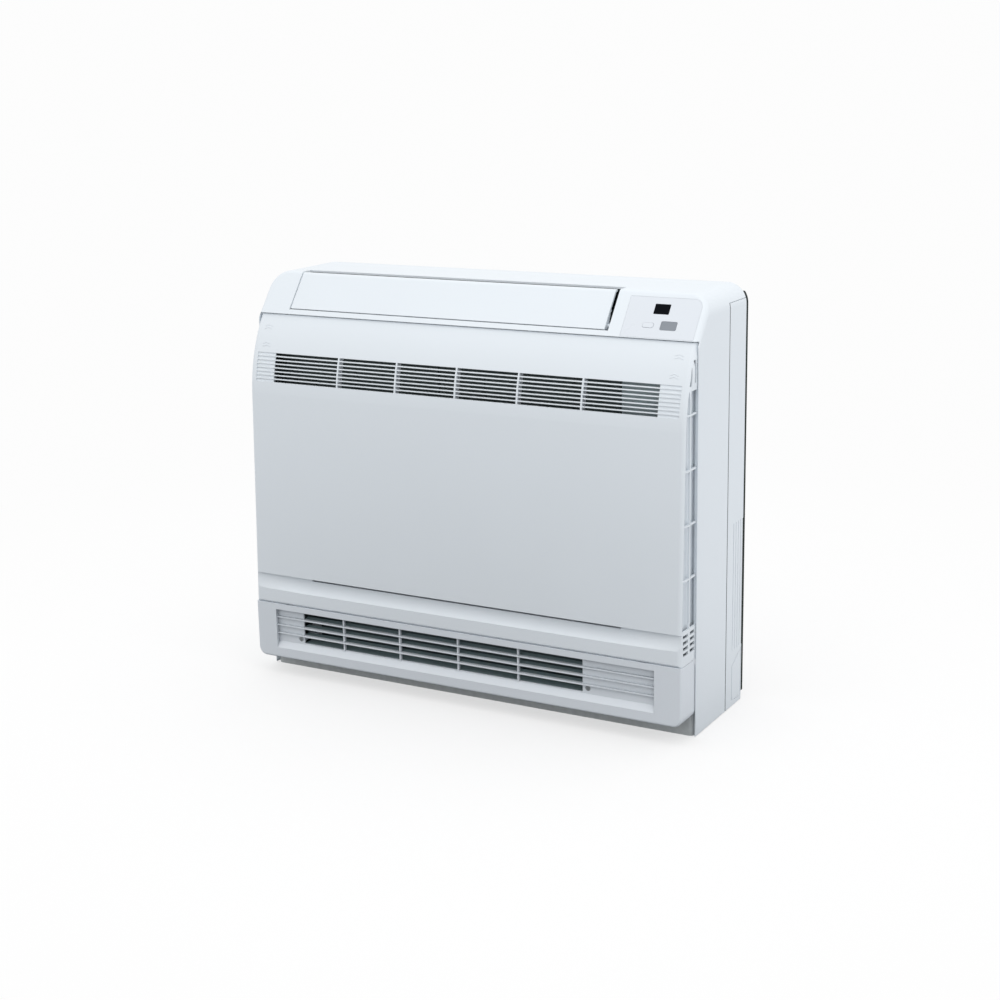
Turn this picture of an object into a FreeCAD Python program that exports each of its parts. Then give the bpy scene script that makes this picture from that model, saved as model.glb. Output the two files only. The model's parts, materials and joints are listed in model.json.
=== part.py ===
import FreeCAD, Part
import math
import os

Vector = FreeCAD.Vector

# Overall size. The front faces -Y and the origin lies under the middle of the cabinet.
width = 700.0
depth = 215.0
height = 600.0

# Fits that all pieces share
overrun = 4.0
seam_gap = 0.6
slip_gap = 0.3
running_gap = 0.05
end_round_share = 0.45
touching = 1e-6

# Case: hood with sloped outlet face, side walls, rear half and wall seal
case_wall = 3.0
case_setback = 44.5
seal_thickness = 6.5
seal_width = 12.0
seal_foot = 13.0
seal_top_drop = 12.0
seam_setback = 149.5
side_seam_gap = 1.8
hood_skirt = 20.0
floor_gap = 1.0
slope_drop = 56.6
slope_angle = math.radians(37.5)
crest_radius = 8.0
corner_radius = 28.0
rim_wall = 1.4
rim_depth = 6.5

# Intake frame behind the front panel, with one opening for each filter
frame_wall = 2.5
intake_left_margin = 24.0
intake_right_margin = 113.0
intake_bottom_z = 150.0
intake_top_drop = 43.4
mullion = 6.0
frame_foot_gap = 1.0

# Rear half: scored knock-outs, stiffening beads, pipe opening and wall holes
groove_width = 1.6
groove_depth = 0.9
knockout_front_setback = 173.0
knockout_rear_inset = 1.5
knockout_bottom_z = 8.0
knockout_low_top_z = 62.0
knockout_high_top_z = 80.0
side_bead_count = 5
side_bead_pitch = 8.5
side_bead_top_z = 270.0
side_bead_bottom_z = 84.0
bead_width = 14.0
bead_depth = 1.6
bead_count = 5
bead_end_inset = 126.0
bead_bottom_z = 140.0
bead_top_drop = 60.0
pipe_opening_left_inset = 122.0
pipe_opening_right_inset = 18.0
pipe_opening_bottom_z = 42.0
pipe_opening_top_z = 118.0
pipe_opening_radius = 8.0
wall_hole_radius = 3.5
wall_hole_inset = 27.0
wall_hole_low_z = 150.0
wall_hole_high_drop = 70.0

# Base pan
base_wall = 2.5
base_height = 34.7
base_front_inset = 1.0
base_corner_radius = 8.0
base_bead_count = 4
base_bead_end_inset = 155.0
base_bead_width = 24.0
base_bead_height = 3.0
tab_width = 16.0
tab_top_z = 72.0

# Front panel
panel_wall = 2.5
panel_side_gap = 0.6
panel_top_gap = 1.4
panel_top_setback = 2.5
panel_foot_gap = 0.5
lower_seam_z = 112.0
hinge_round = 4.0
panel_edge_radius = 8.0
ledge_z = 133.0
face_lean = 11.2
face_head_drop = 113.4
scoop_top_z = 157.0
scoop_depth = 13.0
scoop_end_depth = 3.5
slit_end_inset = 97.0
slit_height = 6.0
grille_top_drop = 54.5
grille_end_inset = 44.25
grille_slot_height = 3.8
grille_slot_pitch = 5.4
grille_rows = 8
grille_rib = 2.5
grille_rib_share = 0.3189
grille_ribs_each_side = 2
end_groove_inset = 13.5
end_groove_depth = 1.1
side_slot_top_drop = 61.4
side_slot_foot_rise = 4.5
side_rib_first_drop = 31.0
side_rib_last_rise = 69.0
side_rib = 2.5
side_rib_count = 4
side_slot_front_inset = 3.3
side_divider_setback = 23.0
side_divider = 3.0
side_slot_rear_reach = 1.5
vent_rows = 4
vent_pitch = 8.2
vent_height = 4.6
vent_top_drop = 1.2
vent_front_setback = 6.0
vent_length = 15.0
vent_column_pitch = 21.0
stopper_slot_setback = 37.3
stopper_slot_width = 4.0
stopper_slot_bottom_drop = 52.4
stopper_slot_top_drop = 22.4
wedge_width = 3.5
wedge_tip_width = 0.8
wedge_top_setback = 32.5
wedge_top_drop = 32.4
wedge_bottom_setback = 24.5
wedge_bottom_drop = 55.4
baffle_inset = 6.5
baffle_wall = 2.0
baffle_end_reach = 3.0
stiffener_wall = 2.0
stiffener_depth = 9.0

# Panel hinge: wire pins in bosses of the panel, ears on the lower front case
hinge_ear_inset = 60.0
hinge_ear_width = 10.0
hinge_pin_radius = 1.2
hinge_pin_length = 26.0
hinge_eye_radius = 2.7
hinge_boss_radius = 3.4
hinge_pocket_gap = 0.5
hinge_neck_setback = 2.9
hinge_neck = 4.1
hinge_bridge_drop = 1.0
hinge_pocket_length = 14.0

# Panel stoppers
stopper_height = 17.0
stopper_depth = 3.2
stopper_recess = 3.5
stopper_length = 16.0
stopper_guide_wall = 1.6
stopper_guide_length = 7.0
stopper_thumb_rib = 0.8
stopper_thumb_pitch = 5.0
stopper_thumb_count = 3

# Lower front case with the outlet grille
lower_wall = 2.5
lower_bottom_z = 27.0
lower_corner_radius = 13.0
lower_edge_radius = 3.5
recess_left_inset = 37.0
recess_right_inset = 42.0
recess_bottom_z = 43.0
recess_top_z = 103.0
recess_depth = 6.0
sill_rise = 9.0
outlet_left_inset = 83.3
outlet_right_inset = 151.8
outlet_bottom_z = 54.0
outlet_top_z = 101.5
slat_thickness = 2.2
slat_depth = 6.5
slat_setback = 2.5
slat_pitch = 12.5
slat_low_z = 65.7
slat_count = 3
outlet_rib = 2.5
outlet_rib_shares = [0.1542, 0.3640, 0.5737, 0.7834]
screw_z = 60.0
screw_left_inset = 77.4
screw_right_inset = 143.8
screw_head_radius = 3.6
screw_head_height = 2.4
screw_shank_radius = 2.0
screw_bite = 3.4
screw_boss_radius = 5.0
screw_slot_width = 1.0
screw_slot_depth = 1.0

# Outlet opening in the slope and the louver that closes it
opening_left_inset = 52.0
opening_right_inset = 132.5
opening_rear_gap = 15.0
end_wall = 2.5
louver_left_gap = 1.0
louver_right_gap = 6.5
louver_recess = 1.2
louver_wall = 3.0
louver_edge_along = 10.4
louver_top_reach = 5.5
louver_axis_along = 20.0
louver_axis_inward = 9.5
louver_swing_gap = 2.4
louver_pin_radius = 3.0
louver_hub_radius = 6.0
louver_arm_width = 4.0
louver_arm_reach = 36.0
louver_rib_height = 3.0
louver_rib_wall = 2.0
louver_rib_along = 40.0
end_wall_foot_along = 9.0
end_wall_foot_inward = 24.0
end_wall_heel_along = 21.5
end_wall_heel_inward = 28.0
end_wall_reach = 4.0

# Geared stepper motors of the louver and the damper
stepper_radius = 14.0
stepper_length = 17.0
stepper_offset = 8.0
stepper_socket_depth = 5.0
stepper_ear_radius = 3.5
stepper_ear_spread = 17.5
stepper_ear_wall = 1.2

# Display on the slope
inlay_left_inset = 113.5
inlay_right_inset = 9.0
inlay_low_along = 1.5
inlay_high_along = 62.5
inlay_thickness = 1.5
inlay_corner_radius = 13.0
inlay_small_radius = 1.0
inlay_gap = 0.15
window_left_inset = 75.0
window_width = 22.0
window_low_along = 37.3
window_height = 15.2
receiver_left_inset = 60.0
receiver_width = 23.0
receiver_low_along = 14.0
receiver_height = 13.2
receiver_radius = 2.0
button_left_inset = 85.5
button_width = 15.5
button_low_along = 16.6
button_height = 7.2
button_radius = 3.0
button_proud = 0.3
button_depth = 4.0
button_gap = 0.3
board_depth = 5.0
board_thickness = 1.6
board_margin = 8.0
board_post_radius = 2.5
board_post_inset = 5.0
chip_height = 2.2

# Upright vanes of the upper outlet, their carrier and link bars
vane_count = 8
vane_end_inset = 47.75
vane_wall = 1.4
vane_pivot_inward = 44.0
vane_front = 11.0
vane_back = 16.0
vane_low_along = 27.0
vane_high_along = 60.0
vane_corner_radius = 7.0
vane_pin_radius = 2.0
vane_pin_depth = 4.5
carrier_half_depth = 4.5
carrier_height = 5.0
link_inward = 12.0
link_depth = 2.0
link_height = 3.0
link_along = 48.0
link_notch_gap = 0.7
link_peg_radius = 1.0
link_peg_clear = 0.9
link_peg_length = 6.0
link_overhang = 14.0

# Air duct: back sheet, throat to the upper outlet and passage to the lower outlet
duct_wall = 2.5
duct_side_gap = 0.5
duct_top_radius = 55.0
duct_foot_radius = 70.0
duct_floor_z = 35.0
duct_mouth_setback = 12.0
passage_top_z = 112.4
throat_along = 18.0
throat_inward = 66.0
throat_shelf_drop = 11.9
throat_foot_drop = 43.4

# Fan shroud, turbo fan and motor
shroud_wall = 2.5
shroud_setback = 59.0
fan_radius_share = 0.4128
fan_ring_width = 20.0
fan_wall = 2.5
bell_radius = 16.0
bell_reach = 9.0
fan_front_gap = 4.5
fan_back_gap = 17.0
fan_ring_depth = 13.0
fan_hub_margin = 16.0
fan_hub_front_margin = 7.0
fan_hub_height = 38.0
fan_boss_radius = 9.0
fan_boss_length = 7.0
blade_count = 7
blade_wall = 3.0
blade_inner_share = 0.525
blade_rim_margin = 3.0
blade_sweep = math.radians(46.0)
blade_bow_share = 0.16
motor_radius = 50.0
motor_length = 38.0
motor_edge_radius = 6.0
motor_nose_radius = 14.0
motor_nose_length = 5.0
shaft_radius = 4.0
shaft_in_motor = 24.0
nut_flat_radius = 7.5
nut_height = 6.0
mount_radius = 62.0
mount_wall = 3.0
mount_collar_length = 12.0
mount_arm_length = 96.0
mount_arm_width = 18.0
mount_arm_count = 4

# Filters, evaporator and drain pan
filter_frame = 9.0
filter_thickness = 3.6
filter_web = 0.6
filter_bar = 3.0
filter_bars = 3
filter_overlap = 4.0
filter_tab_width = 34.0
filter_tab_height = 9.0
coil_gap = 7.0
coil_depth = 36.0
coil_left_inset = 55.0
coil_right_inset = 150.0
coil_bottom_z = 149.0
coil_top_drop = 58.4
coil_fin_pitch = 9.0
coil_fin_wall = 1.2
coil_fin_height = 2.0
tube_radius = 3.5
tube_rows = 2
tube_row_pitch = 18.0
tube_count = 12
tube_gap = 0.1
tube_end_reach = 4.0
plate_wall = 1.5
pan_wall = 2.5
pan_bottom_z = 112.7
pan_rim_z = 152.0
pan_side_gap = 3.0
pan_end_reach = 44.0
spigot_radius = 8.0
spigot_bore_radius = 6.0
spigot_length = 11.0
spigot_inset = 11.0

# Lower damper
damper_axis_setback = 63.5
damper_axis_z = 95.0
damper_reach = 50.0
damper_wall = 2.5
damper_end_gap = 4.0
damper_pin_radius = 3.0
damper_hub_radius = 5.0

# Electrical box
box_left_gap = 6.0
box_right_inset = 13.0
box_bottom_z = 196.0
box_top_drop = 37.4
box_back_y = 56.0
box_wall = 2.0
box_cover_wall = 3.2
box_rib = 1.6
box_rib_count = 4
box_rib_share = 0.19
standoff_radius = 4.0
standoff_height = 10.0
standoff_inset = 14.0
board_wall = 1.6
main_board_margin = 6.0
component_reach = 15.0
component_shares = [(0.33, 0.43, 0.4), (0.51, 0.62, 0.7), (0.70, 0.80, 1.0)]
terminal_length = 70.0
terminal_depth = 22.0
terminal_height = 18.0
terminal_poles = 5
terminal_screw_radius = 3.0
terminal_screw_depth = 2.0

# Refrigerant pipes and their flare nuts
gas_pipe_radius = 4.76
liquid_pipe_radius = 3.18
pipe_bend_radius = 18.0
gas_pipe_inset = 96.0
liquid_pipe_inset = 68.0
gas_pipe_low_z = 66.0
liquid_pipe_low_z = 94.0
pipe_end_setback = 26.0
gas_nut_radius = 11.0
liquid_nut_radius = 8.5
nut_length = 17.0

# Cable gland in the back wall
gland_x_inset = 60.0
gland_z = 170.0
gland_radius = 14.0
gland_bore_radius = 6.0
gland_flange = 3.0
gland_flange_wall = 2.0

# Places worked out from the sizes above
side_x = width / 2
front_y = -depth / 2
rear_y = depth / 2
case_front_y = front_y + case_setback
case_back_y = rear_y - seal_thickness
seam_y = front_y + seam_setback
hood_z = height - hood_skirt
slope_z = height - slope_drop
panel_x = side_x - rim_wall - panel_side_gap
panel_back_y = case_front_y + rim_depth - seam_gap
panel_top_z = slope_z - panel_top_gap
panel_foot_z = lower_seam_z + panel_foot_gap
hinge_y = front_y + hinge_round
hinge_z = panel_foot_z + hinge_round
hinge_ear_x = side_x - hinge_ear_inset
face_head_z = slope_z - face_head_drop
slit_half_length = side_x - slit_end_inset
grille_half_length = side_x - grille_end_inset
grille_rib_pitch = grille_half_length * grille_rib_share
grille_top_z = slope_z - grille_top_drop
end_groove_reach = side_x - end_groove_inset
side_slot_top_z = slope_z - side_slot_top_drop
side_slot_bottom_z = scoop_top_z + side_slot_foot_rise
side_rib_span = side_slot_top_z - side_rib_first_drop - side_slot_bottom_z - side_rib_last_rise
side_rib_pitch = side_rib_span / (side_rib_count - 1)
stopper_slot_bottom_z = slope_z - stopper_slot_bottom_drop
stopper_slot_top_z = slope_z - stopper_slot_top_drop
frame_y = case_front_y + rim_depth
frame_back_y = frame_y + frame_wall
frame_foot_z = lower_seam_z + frame_foot_gap
intake_x0 = -side_x + intake_left_margin
intake_x1 = side_x - intake_right_margin
intake_top_z = slope_z - intake_top_drop
intake_middle_x = (intake_x0 + intake_x1) / 2
opening_x0 = -side_x + opening_left_inset
opening_x1 = side_x - opening_right_inset
louver_rear_y = case_front_y + slope_drop * math.tan(slope_angle) + louver_top_reach
opening_rear_y = louver_rear_y + opening_rear_gap
end_wall_back_y = opening_rear_y + end_wall_reach
louver_x0 = opening_x0 + louver_left_gap
louver_x1 = opening_x1 - louver_right_gap
duct_x0 = opening_x0 - end_wall - duct_side_gap
duct_x1 = opening_x1 + end_wall + duct_side_gap
duct_back_y = case_back_y - case_wall - slip_gap
duct_top_z = height - case_wall - slip_gap
duct_mouth_y = case_front_y + duct_mouth_setback
duct_top_front_y = end_wall_back_y + slip_gap
shroud_y = case_front_y + shroud_setback
shroud_back_y = shroud_y + shroud_wall
fan_x = (duct_x0 + duct_x1) / 2
throat_shelf_z = slope_z - throat_shelf_drop
throat_foot_z = slope_z - throat_foot_drop
fan_z = (passage_top_z + throat_foot_z) / 2
fan_radius = (throat_foot_z - passage_top_z) * fan_radius_share
fan_eye_radius = fan_radius - fan_ring_width
fan_hub_foot = motor_radius + fan_hub_margin
fan_hub_front = motor_radius + fan_hub_front_margin
vane_pitch = (opening_x1 - opening_x0 - vane_end_inset - vane_end_inset) / (vane_count - 1)
motor_back_y = duct_back_y - duct_wall - mount_wall
motor_front_y = motor_back_y - motor_length
fan_front_y = shroud_back_y + fan_front_gap
fan_back_y = duct_back_y - duct_wall - fan_back_gap
coil_x0 = -side_x + coil_left_inset
coil_x1 = side_x - coil_right_inset
coil_back_y = shroud_y - coil_gap
coil_front_y = coil_back_y - coil_depth
coil_top_z = slope_z - coil_top_drop
coil_height = coil_top_z - coil_bottom_z
tube_pitch = coil_height / tube_count
outlet_x0 = -side_x + outlet_left_inset
outlet_x1 = side_x - outlet_right_inset
box_x0 = duct_x1 + duct_wall + box_left_gap
box_x1 = side_x - box_right_inset
box_top_z = slope_z - box_top_drop
box_height = box_top_z - box_bottom_z
box_front_y = frame_back_y + slip_gap + box_cover_wall
damper_y = front_y + damper_axis_setback
screw_places = [-side_x + screw_left_inset, side_x - screw_right_inset]
sides = [-1, 1]


# Drawing helpers

def box(x0, x1, y0, y1, z0, z1):
    return Part.makeBox(x1 - x0, y1 - y0, z1 - z0, Vector(x0, y0, z0))


def rod(x, y, z, direction, length, radius):
    return Part.makeCylinder(radius, length, Vector(x, y, z), direction)


def along_x(x):
    return lambda u, v: Vector(x, u, v)


def along_y(y):
    return lambda u, v: Vector(u, y, v)


def along_z(z):
    return lambda u, v: Vector(u, v, z)


def outline(corners, place):
    """Closed wire through (u, v, radius) corners, each rounded by its own radius."""
    spans = []
    count = len(corners)
    for index, (u, v, radius) in enumerate(corners):
        here = Vector(u, v, 0)
        if radius == 0:
            spans.append((here, None, here))
            continue
        before = corners[index - 1]
        after = corners[(index + 1) % count]
        back = (Vector(before[0], before[1], 0) - here).normalize()
        ahead = (Vector(after[0], after[1], 0) - here).normalize()
        half = back.getAngle(ahead) / 2
        reach = radius / math.tan(half)
        middle = (back + ahead).normalize()
        nearest = radius / math.sin(half) - radius
        spans.append((here + back * reach, here + middle * nearest, here + ahead * reach))
    edges = []
    for index, (start, middle, end) in enumerate(spans):
        if middle is not None:
            arc = Part.Arc(place(start.x, start.y), place(middle.x, middle.y), place(end.x, end.y))
            edges.append(arc.toShape())
        following = spans[(index + 1) % count][0]
        if (following - end).Length > touching:
            line = Part.LineSegment(place(end.x, end.y), place(following.x, following.y))
            edges.append(line.toShape())
    return Part.Wire(edges)


def prism_x(corners, x0, x1):
    return Part.Face(outline(corners, along_x(x0))).extrude(Vector(x1 - x0, 0, 0))


def prism_y(corners, y0, y1):
    return Part.Face(outline(corners, along_y(y0))).extrude(Vector(0, y1 - y0, 0))


def prism_z(corners, z0, z1):
    return Part.Face(outline(corners, along_z(z0))).extrude(Vector(0, 0, z1 - z0))


def rectangle(u0, u1, v0, v1, radius):
    return [(u0, v0, radius), (u1, v0, radius), (u1, v1, radius), (u0, v1, radius)]


def hexagon(x, z, flat_radius):
    """Corners of a hexagon by the radius to the middle of its flats."""
    reach = flat_radius / math.cos(math.pi / 6)
    return [(x + reach * math.cos(math.pi * k / 3), z + reach * math.sin(math.pi * k / 3), 0) for k in range(6)]


def turned(corners, x, z):
    """Ring or plug turned about the Y axis through (x, z) from (radius, y) corners."""
    wire = outline(corners, lambda u, v: Vector(x + u, v, z))
    return Part.Face(wire).revolve(Vector(x, 0, z), Vector(0, 1, 0), 360)


def union(shapes):
    return shapes[0].multiFuse(shapes[1:]).removeSplitter()


def mirrored(shape):
    return shape.mirror(Vector(0, 0, 0), Vector(1, 0, 0))


def bent_pipe(points, radius, bend_radius):
    """Round pipe along straight runs joined by quarter bends or other tangent bends."""
    pieces = []
    start = points[0]
    for before, here, after in zip(points, points[1:], points[2:]):
        back = (before - here).normalize()
        ahead = (after - here).normalize()
        half = back.getAngle(ahead) / 2
        entry = here + back * (bend_radius / math.tan(half))
        centre = here + (back + ahead).normalize() * (bend_radius / math.sin(half))
        run = (entry - start).Length
        if run > touching:
            pieces.append(Part.makeCylinder(radius, run, start, entry - start))
        section = Part.Face(Part.Wire(Part.makeCircle(radius, entry, back)))
        turn = 180 - math.degrees(2 * half)
        pieces.append(section.revolve(centre, (entry - centre).cross(back * -1), turn))
        start = here + ahead * (bend_radius / math.tan(half))
    pieces.append(Part.makeCylinder(radius, (points[-1] - start).Length, start, points[-1] - start))
    return pieces[0].multiFuse(pieces[1:])


def slope_point(along, inward):
    """Point (y, z) at a distance up the slope and a depth below its face."""
    y = case_front_y + along * math.sin(slope_angle) + inward * math.cos(slope_angle)
    z = slope_z + along * math.cos(slope_angle) - inward * math.sin(slope_angle)
    return (y, z)


def slope_at_height(along, z):
    inward = (slope_z + along * math.cos(slope_angle) - z) / math.sin(slope_angle)
    return slope_point(along, inward)


def crest(inset):
    """Corner (y, z) between slope and top, both moved inward by the inset."""
    rise = slope_drop - inset
    y = case_front_y + inset / math.cos(slope_angle) + rise * math.tan(slope_angle)
    return (y, height - inset)


def on_slope(shape):
    """Leans a shape drawn on the upright plane of the case front back onto the slope."""
    leant = shape.copy()
    leant.rotate(Vector(0, case_front_y, slope_z), Vector(1, 0, 0), -math.degrees(slope_angle))
    return leant


def corner(point, radius=0):
    return (point[0], point[1], radius)


louver_axis = slope_point(louver_axis_along, louver_axis_inward)
louver_edge = slope_point(louver_edge_along, louver_recess)
louver_swing = math.hypot(louver_edge[0] - louver_axis[0], louver_edge[1] - louver_axis[1])


# Case

def front_view(inset, foot_z):
    half = side_x - inset
    radius = corner_radius - inset
    top = height - inset
    return [(-half, foot_z, 0), (half, foot_z, 0), (half, top, radius), (-half, top, radius)]


def rounded_slope(body, radius):
    """Rounds the edge that runs up one side of the slope, along the crest and down the other side."""
    outward = Vector(0, -math.cos(slope_angle), math.sin(slope_angle))
    chosen = []
    for face in body.Faces:
        if (face.normalAt(0, 0) - outward).Length < touching:
            lowest = face.BoundBox.ZMin
            chosen += [edge for edge in face.Edges if edge.BoundBox.ZMax > lowest + touching]
    return body.makeFillet(radius, chosen)


def case_body():
    """Solid outside form of the front case, its slope edges eased."""
    side_view = [
        (case_front_y, floor_gap, 0),
        (case_front_y, slope_z, 0),
        corner(crest(0)),
        (case_back_y, height, 0),
        (case_back_y, hood_z, 0),
        (seam_y, hood_z, 0),
        (seam_y, floor_gap, 0),
    ]
    body = prism_x(side_view, -side_x, side_x)
    body = body.common(prism_y(front_view(0, 0), case_front_y - overrun, rear_y))
    return rounded_slope(body, crest_radius)


def case_hollow():
    lip_y = case_front_y + case_wall / math.cos(slope_angle)
    side_view = [
        (case_front_y - overrun, 0, 0),
        (case_front_y - overrun, slope_z, 0),
        (lip_y, slope_z, 0),
        corner(crest(case_wall)),
        (rear_y, height - case_wall, 0),
        (rear_y, 0, 0),
    ]
    hollow = prism_x(side_view, -side_x, side_x)
    hollow = hollow.common(prism_y(front_view(case_wall, 0), case_front_y - overrun, rear_y))
    return rounded_slope(hollow, crest_radius - case_wall)


def opening_tool():
    """Cut for the outlet: through slope and crest, with a round seat for the louver's lower edge."""
    foot = slope_point(louver_axis_along, -overrun)
    deep = slope_point(louver_axis_along, louver_axis_inward)
    ridge = crest(-overrun)
    through = [
        corner(foot),
        corner(ridge),
        (opening_rear_y, height + overrun, 0),
        (opening_rear_y, height - case_wall - overrun, 0),
        corner(deep),
    ]
    cut = prism_x(through, opening_x0, opening_x1)
    swing = rod(opening_x0, louver_axis[0], louver_axis[1], Vector(1, 0, 0),
                opening_x1 - opening_x0, louver_swing + louver_swing_gap)
    return cut.fuse(swing)


def outlet_end_walls(body):
    """Walls at both ends of the outlet, bored for the louver's pins."""
    shape = [
        corner(slope_point(end_wall_foot_along, 0)),
        corner(slope_point(end_wall_foot_along, end_wall_foot_inward)),
        corner(slope_point(end_wall_heel_along, end_wall_heel_inward)),
        corner(slope_at_height(end_wall_heel_along, throat_foot_z + hood_skirt)),
        (end_wall_back_y, throat_foot_z + hood_skirt, 0),
        (end_wall_back_y, height, 0),
        corner(crest(0)),
    ]
    walls = []
    for x0 in [opening_x0 - end_wall, opening_x1]:
        walls.append(prism_x(shape, x0, x0 + end_wall).common(body))
    return walls


def inlay_corners(gap):
    x0 = side_x - inlay_left_inset - gap
    x1 = side_x - inlay_right_inset + gap
    low = slope_z + inlay_low_along - gap
    high = slope_z + inlay_high_along + gap
    small = inlay_small_radius + gap
    return [(x0, low, small), (x1, low, small), (x1, high, inlay_corner_radius + gap), (x0, high, small)]


def button_corners(gap):
    x0 = side_x - button_left_inset - gap
    low = slope_z + button_low_along - gap
    return rectangle(x0, x0 + button_width + gap + gap, low, low + button_height + gap + gap,
                     button_radius + gap)


def board_extent():
    x0 = side_x - inlay_left_inset + board_margin
    x1 = side_x - inlay_right_inset - board_margin
    low = slope_z + inlay_low_along + board_margin
    high = slope_z + inlay_high_along - board_margin
    return (x0, x1, low, high)


def board_posts():
    x0, x1, low, high = board_extent()
    posts = []
    for x in [x0 + board_post_inset, x1 - inlay_corner_radius]:
        for z in [low + board_post_inset, high - board_post_inset]:
            start = case_front_y + inlay_thickness + inlay_gap
            post = rod(x, start, z, Vector(0, 1, 0), case_front_y + board_depth - start, board_post_radius)
            posts.append(on_slope(post))
    return posts


def intake_frame(body):
    """Plate behind the panel with two filter openings, joined to the lip of the slope by a shelf."""
    half = side_x - rim_wall
    plate = box(-half, half, frame_y, frame_back_y, frame_foot_z, slope_z + case_wall)
    shelf = box(-half, half, case_front_y + rim_wall, frame_back_y, slope_z, slope_z + frame_wall)
    openings = []
    for x0, x1 in [(intake_x0, intake_middle_x - mullion / 2), (intake_middle_x + mullion / 2, intake_x1)]:
        openings.append(box(x0, x1, frame_y - overrun, frame_back_y + overrun, intake_bottom_z, intake_top_z))
    return plate.fuse(shelf).common(body).cut(openings)


def front_case():
    body = case_body()
    shell = body.cut(case_hollow())
    for side in sides:
        inner = side * (side_x - rim_wall)
        outer = side * (side_x - case_wall - overrun)
        shell = shell.cut(box(min(inner, outer), max(inner, outer), case_front_y - overrun,
                              case_front_y + rim_depth, 0, slope_z))
    pieces = [shell, intake_frame(body)] + outlet_end_walls(body) + board_posts()
    case = union(pieces)
    recess = prism_y(inlay_corners(inlay_gap), case_front_y - overrun, case_front_y + inlay_thickness)
    hole = prism_y(button_corners(button_gap), case_front_y, case_front_y + case_wall + overrun)
    pin_bores = rod(opening_x0 - end_wall - overrun, louver_axis[0], louver_axis[1], Vector(1, 0, 0),
                    opening_x1 - opening_x0 + end_wall + end_wall + overrun + overrun,
                    louver_pin_radius + running_gap)
    return case.cut([opening_tool(), on_slope(recess), on_slope(hole), pin_bores])


def knockout_grooves(side):
    """Scored outline of the side knock-out and the upright lines above it."""
    face = side * side_x
    x0 = min(face - side * groove_depth, face + side * overrun)
    x1 = max(face - side * groove_depth, face + side * overrun)
    front = front_y + knockout_front_setback
    back = case_back_y - knockout_rear_inset
    frame = [
        (front, knockout_bottom_z, 0),
        (back, knockout_bottom_z, 0),
        (back, knockout_high_top_z, 0),
        (front, knockout_low_top_z, 0),
    ]
    inner = [
        (front + groove_width, knockout_bottom_z + groove_width, 0),
        (back - groove_width, knockout_bottom_z + groove_width, 0),
        (back - groove_width, knockout_high_top_z - groove_width, 0),
        (front + groove_width, knockout_low_top_z - groove_width, 0),
    ]
    cuts = [prism_x(frame, x0, x1).cut(prism_x(inner, x0, x1))]
    for index in range(side_bead_count):
        y = front + index * side_bead_pitch
        cuts.append(box(x0, x1, y, y + groove_width, side_bead_bottom_z, side_bead_top_z))
    return cuts


def rear_case():
    outside = prism_y(front_view(0, floor_gap), seam_y + side_seam_gap, case_back_y)
    outside = outside.common(box(-side_x, side_x, seam_y, rear_y, 0, hood_z - seam_gap))
    hollow = prism_y(front_view(case_wall, 0), seam_y, case_back_y - case_wall)
    back = prism_y(front_view(case_wall + slip_gap, floor_gap), case_back_y - case_wall, case_back_y)
    case = union([outside.cut(hollow), back])
    cuts = []
    for side in sides:
        cuts += knockout_grooves(side)
        for z in [wall_hole_low_z, height - wall_hole_high_drop]:
            cuts.append(rod(side * (side_x - wall_hole_inset), case_back_y - case_wall - overrun, z,
                            Vector(0, 1, 0), case_wall + overrun + overrun, wall_hole_radius))
    for index in range(bead_count):
        x = (index / (bead_count - 1) * 2 - 1) * (side_x - bead_end_inset)
        bead = rectangle(x - bead_width / 2, x + bead_width / 2, bead_bottom_z, height - bead_top_drop,
                         bead_width * end_round_share)
        cuts.append(prism_y(bead, case_back_y - bead_depth, case_back_y + overrun))
    pipes = rectangle(side_x - pipe_opening_left_inset, side_x - pipe_opening_right_inset,
                      pipe_opening_bottom_z, pipe_opening_top_z, pipe_opening_radius)
    cuts.append(prism_y(pipes, case_back_y - case_wall - overrun, case_back_y + overrun))
    cuts.append(rod(side_x - gland_x_inset, case_back_y - case_wall - overrun, gland_z, Vector(0, 1, 0),
                    case_wall + overrun + overrun, gland_radius - gland_flange))
    return case.cut(cuts)


def wall_seal():
    """Foam strip behind both sides and, a little below the top edge, across the back."""
    top = height - seal_top_drop
    strip = prism_y(front_view(0, seal_foot), case_back_y, rear_y)
    strip = strip.common(box(-side_x, side_x, case_back_y, rear_y, 0, top))
    inside = prism_y(front_view(seal_width, 0), case_back_y - overrun, rear_y + overrun)
    inside = inside.common(box(-side_x, side_x, case_back_y - overrun, rear_y + overrun, 0, top - seal_width))
    return strip.cut(inside)


def base_pan():
    half = side_x - case_wall - seam_gap
    y0 = case_front_y + base_front_inset
    y1 = case_back_y - case_wall - seam_gap
    floor = rectangle(-half, half, y0, y1, base_corner_radius)
    inside = rectangle(-half + base_wall, half - base_wall, y0 + base_wall, y1 - base_wall,
                       base_corner_radius - base_wall)
    pan = prism_z(floor, 0, base_height).cut(prism_z(inside, base_wall, base_height + overrun))
    added = [pan]
    for index in range(base_bead_count):
        x = (index / (base_bead_count - 1) * 2 - 1) * (side_x - base_bead_end_inset)
        bead = rectangle(x - base_bead_width / 2, x + base_bead_width / 2, y0 + base_bead_width,
                         y1 - base_bead_width, base_bead_width * end_round_share)
        added.append(prism_z(bead, base_wall / 2, base_wall + base_bead_height))
    for x in screw_places:
        tab = rectangle(x - tab_width / 2, x + tab_width / 2, base_height / 2, tab_top_z, base_wall)
        added.append(prism_y(tab, y0, y0 + base_wall))
    pan = union(added)
    holes = []
    for x in screw_places:
        holes.append(rod(x, y0 - overrun, screw_z, Vector(0, 1, 0), base_wall + overrun + overrun,
                         screw_shank_radius + running_gap))
    return pan.cut(holes)


# Front panel

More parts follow.
